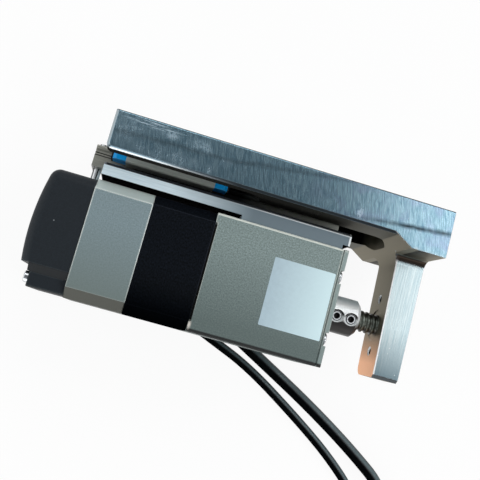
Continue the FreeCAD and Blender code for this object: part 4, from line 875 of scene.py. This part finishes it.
# %% [markdown]
# The last outside finishes are soft: blue moulded end caps, rubber seals, the cables' jackets with their
# boots and plugs, and the label's film, which is a little brighter towards the free end. A jacket has a
# painted sheen on the side that looks away from the front, and its near side doesn't shine.

# %% Plastics, rubber and film
ACROSS_CABLE = (0.45, 0.89)

finishes["blue_plastic"] = Finish(
    "moulded_blue_acetal", "#05a8ff", "#12b4ff", 0.6, relief_mm=0.004, edge_mm=0.3, edge_highlight="#5ab8f0",
    Roughness=0.4, IOR=1.48, **{"Specular IOR Level": 0.3}).done()
finishes["seal_rubber"] = Finish(
    "nitrile_seal", "#151516", "#222224", 0.3, relief_mm=0.01, Roughness=0.6, IOR=1.52).done()
jacket = Finish(
    "black_pvc_jacket", "#050607", "#0a0c0d", 1.5, relief_mm=0.001, edge_mm=0.02, Roughness=0.32, IOR=1.53,
    **{"Specular IOR Level": 0.25})
across_y = jacket.math("MULTIPLY", jacket.facing["Y"], ACROSS_CABLE[1])
across = jacket.math("MULTIPLY_ADD", jacket.facing["X"], ACROSS_CABLE[0], across_y)
# A painted sheen on the side that looks away from the front.
painted_sheen = jacket.both(jacket.span(across, 0, 0.35), jacket.span(across, 0.9, 0.6))
jacket.tint(painted_sheen, "#586669")
jacket.vary("Specular IOR Level", jacket.span(across, 0.1, -0.2), 0.0)
finishes["cable_sheath"] = jacket.done()
finishes["boot_rubber"] = Finish(
    "moulded_boot_rubber", "#111112", "#1b1b1c", 0.4, relief_mm=0.01, Roughness=0.55, IOR=1.52).done()
finishes["plug_plastic"] = Finish(
    "moulded_nylon_plug", "#cfccc0", "#e0ddd2", 0.5, relief_mm=0.008, Roughness=0.45, IOR=1.53).done()
film = Finish(
    "pale_label_film", "#aec3cc", "#b4c9d2", 1.2, relief_mm=0.002, edge_mm=0.15, Roughness=0.35, IOR=1.5)
film.tint(film.where("X", -23, -1), "#d9f2f5")
finishes["label_film"] = film.done()
print("made:", jacket.material.name, film.material.name)

# %% [markdown]
# The pieces inside the motor show only when it is taken apart, but they have their real finishes too:
# copper wire with its streaks along the wire, bare iron, sintered magnets, a green board, felt and brass.

# %% Finishes inside
finishes["rotor_iron"] = Finish(
    "bare_rotor_iron", "#4c4c4f", "#67676b", 0.5, stretch=(0.5, 6, 6), relief_mm=0.02,
    Roughness=0.4, Metallic=0.9).done()
finishes["magnet"] = Finish(
    "sintered_magnet", "#3a3a3e", "#55555a", 0.3, relief_mm=0.01, Roughness=0.4, Metallic=0.8).done()
finishes["copper"] = Finish(
    "enamelled_copper_wire", "#9a5a2c", "#c07a44", 0.35, stretch=(10, 0.5, 0.5), relief_mm=0.05,
    Roughness=0.3, Metallic=0.9).done()
finishes["wiper_felt"] = Finish(
    "oiled_felt", "#4b463d", "#6b6558", 0.25, relief_mm=0.08, Roughness=0.9, IOR=1.5).done()
finishes["nut_plastic"] = Finish(
    "moulded_ivory_acetal", "#c2bfb1", "#d6d3c6", 0.4, relief_mm=0.006, Roughness=0.4, IOR=1.48).done()
finishes["board"] = Finish(
    "green_solder_mask", "#0b4422", "#11552c", 1.2, relief_mm=0.01, Roughness=0.3, IOR=1.5).done()
finishes["chip_black"] = Finish(
    "moulded_chip_epoxy", "#121212", "#1c1c1c", 0.15, relief_mm=0.004, Roughness=0.5, IOR=1.55).done()
finishes["brass_contact"] = Finish(
    "stamped_brass", "#a98a45", "#c9a95e", 0.3, relief_mm=0.004, Roughness=0.28, Metallic=1.0).done()
print("finishes:", len(finishes))

# %% [markdown]
# Each ready-made piece takes the finish of its own slot. Materials belong to meshes, so we clear the slots
# that the import made and append ours. A few pieces differ from others of their slot: the housing and its
# flange take the more olive casting, and the collar, set screws, rail and stop pin have steels of their own.

# %% Dress the pieces
dress = {subpart["node"]: subpart["material_slot"] for subpart in frame["record"]["subparts"]}
dress.update({
    "front_housing": "olive_casting", "front_flange": "olive_casting", "stop_collar": "collar_steel",
    "guide_rail": "rail_steel", "rail_stop_pin": "pin_steel", "collar_set_screws": "set_screw",
})
for node, finish in dress.items():
    mesh = nodes[node].data
    mesh.materials.clear()
    mesh.materials.append(finishes[finish])
for piece, finish in ((motor_cable, "cable_sheath"), (encoder_cable, "cable_sheath"), (screw, "screw_steel"),
                      (label, "label_film")):
    piece.data.materials.append(finishes[finish])
print("dressed:", len(dress))

# %% [markdown]
# Nothing that we added may stand out of the part's own box. A new object's place counts only once
# Blender has worked out the scene again, so we ask for that.

# %% The end
bpy.context.view_layer.update()
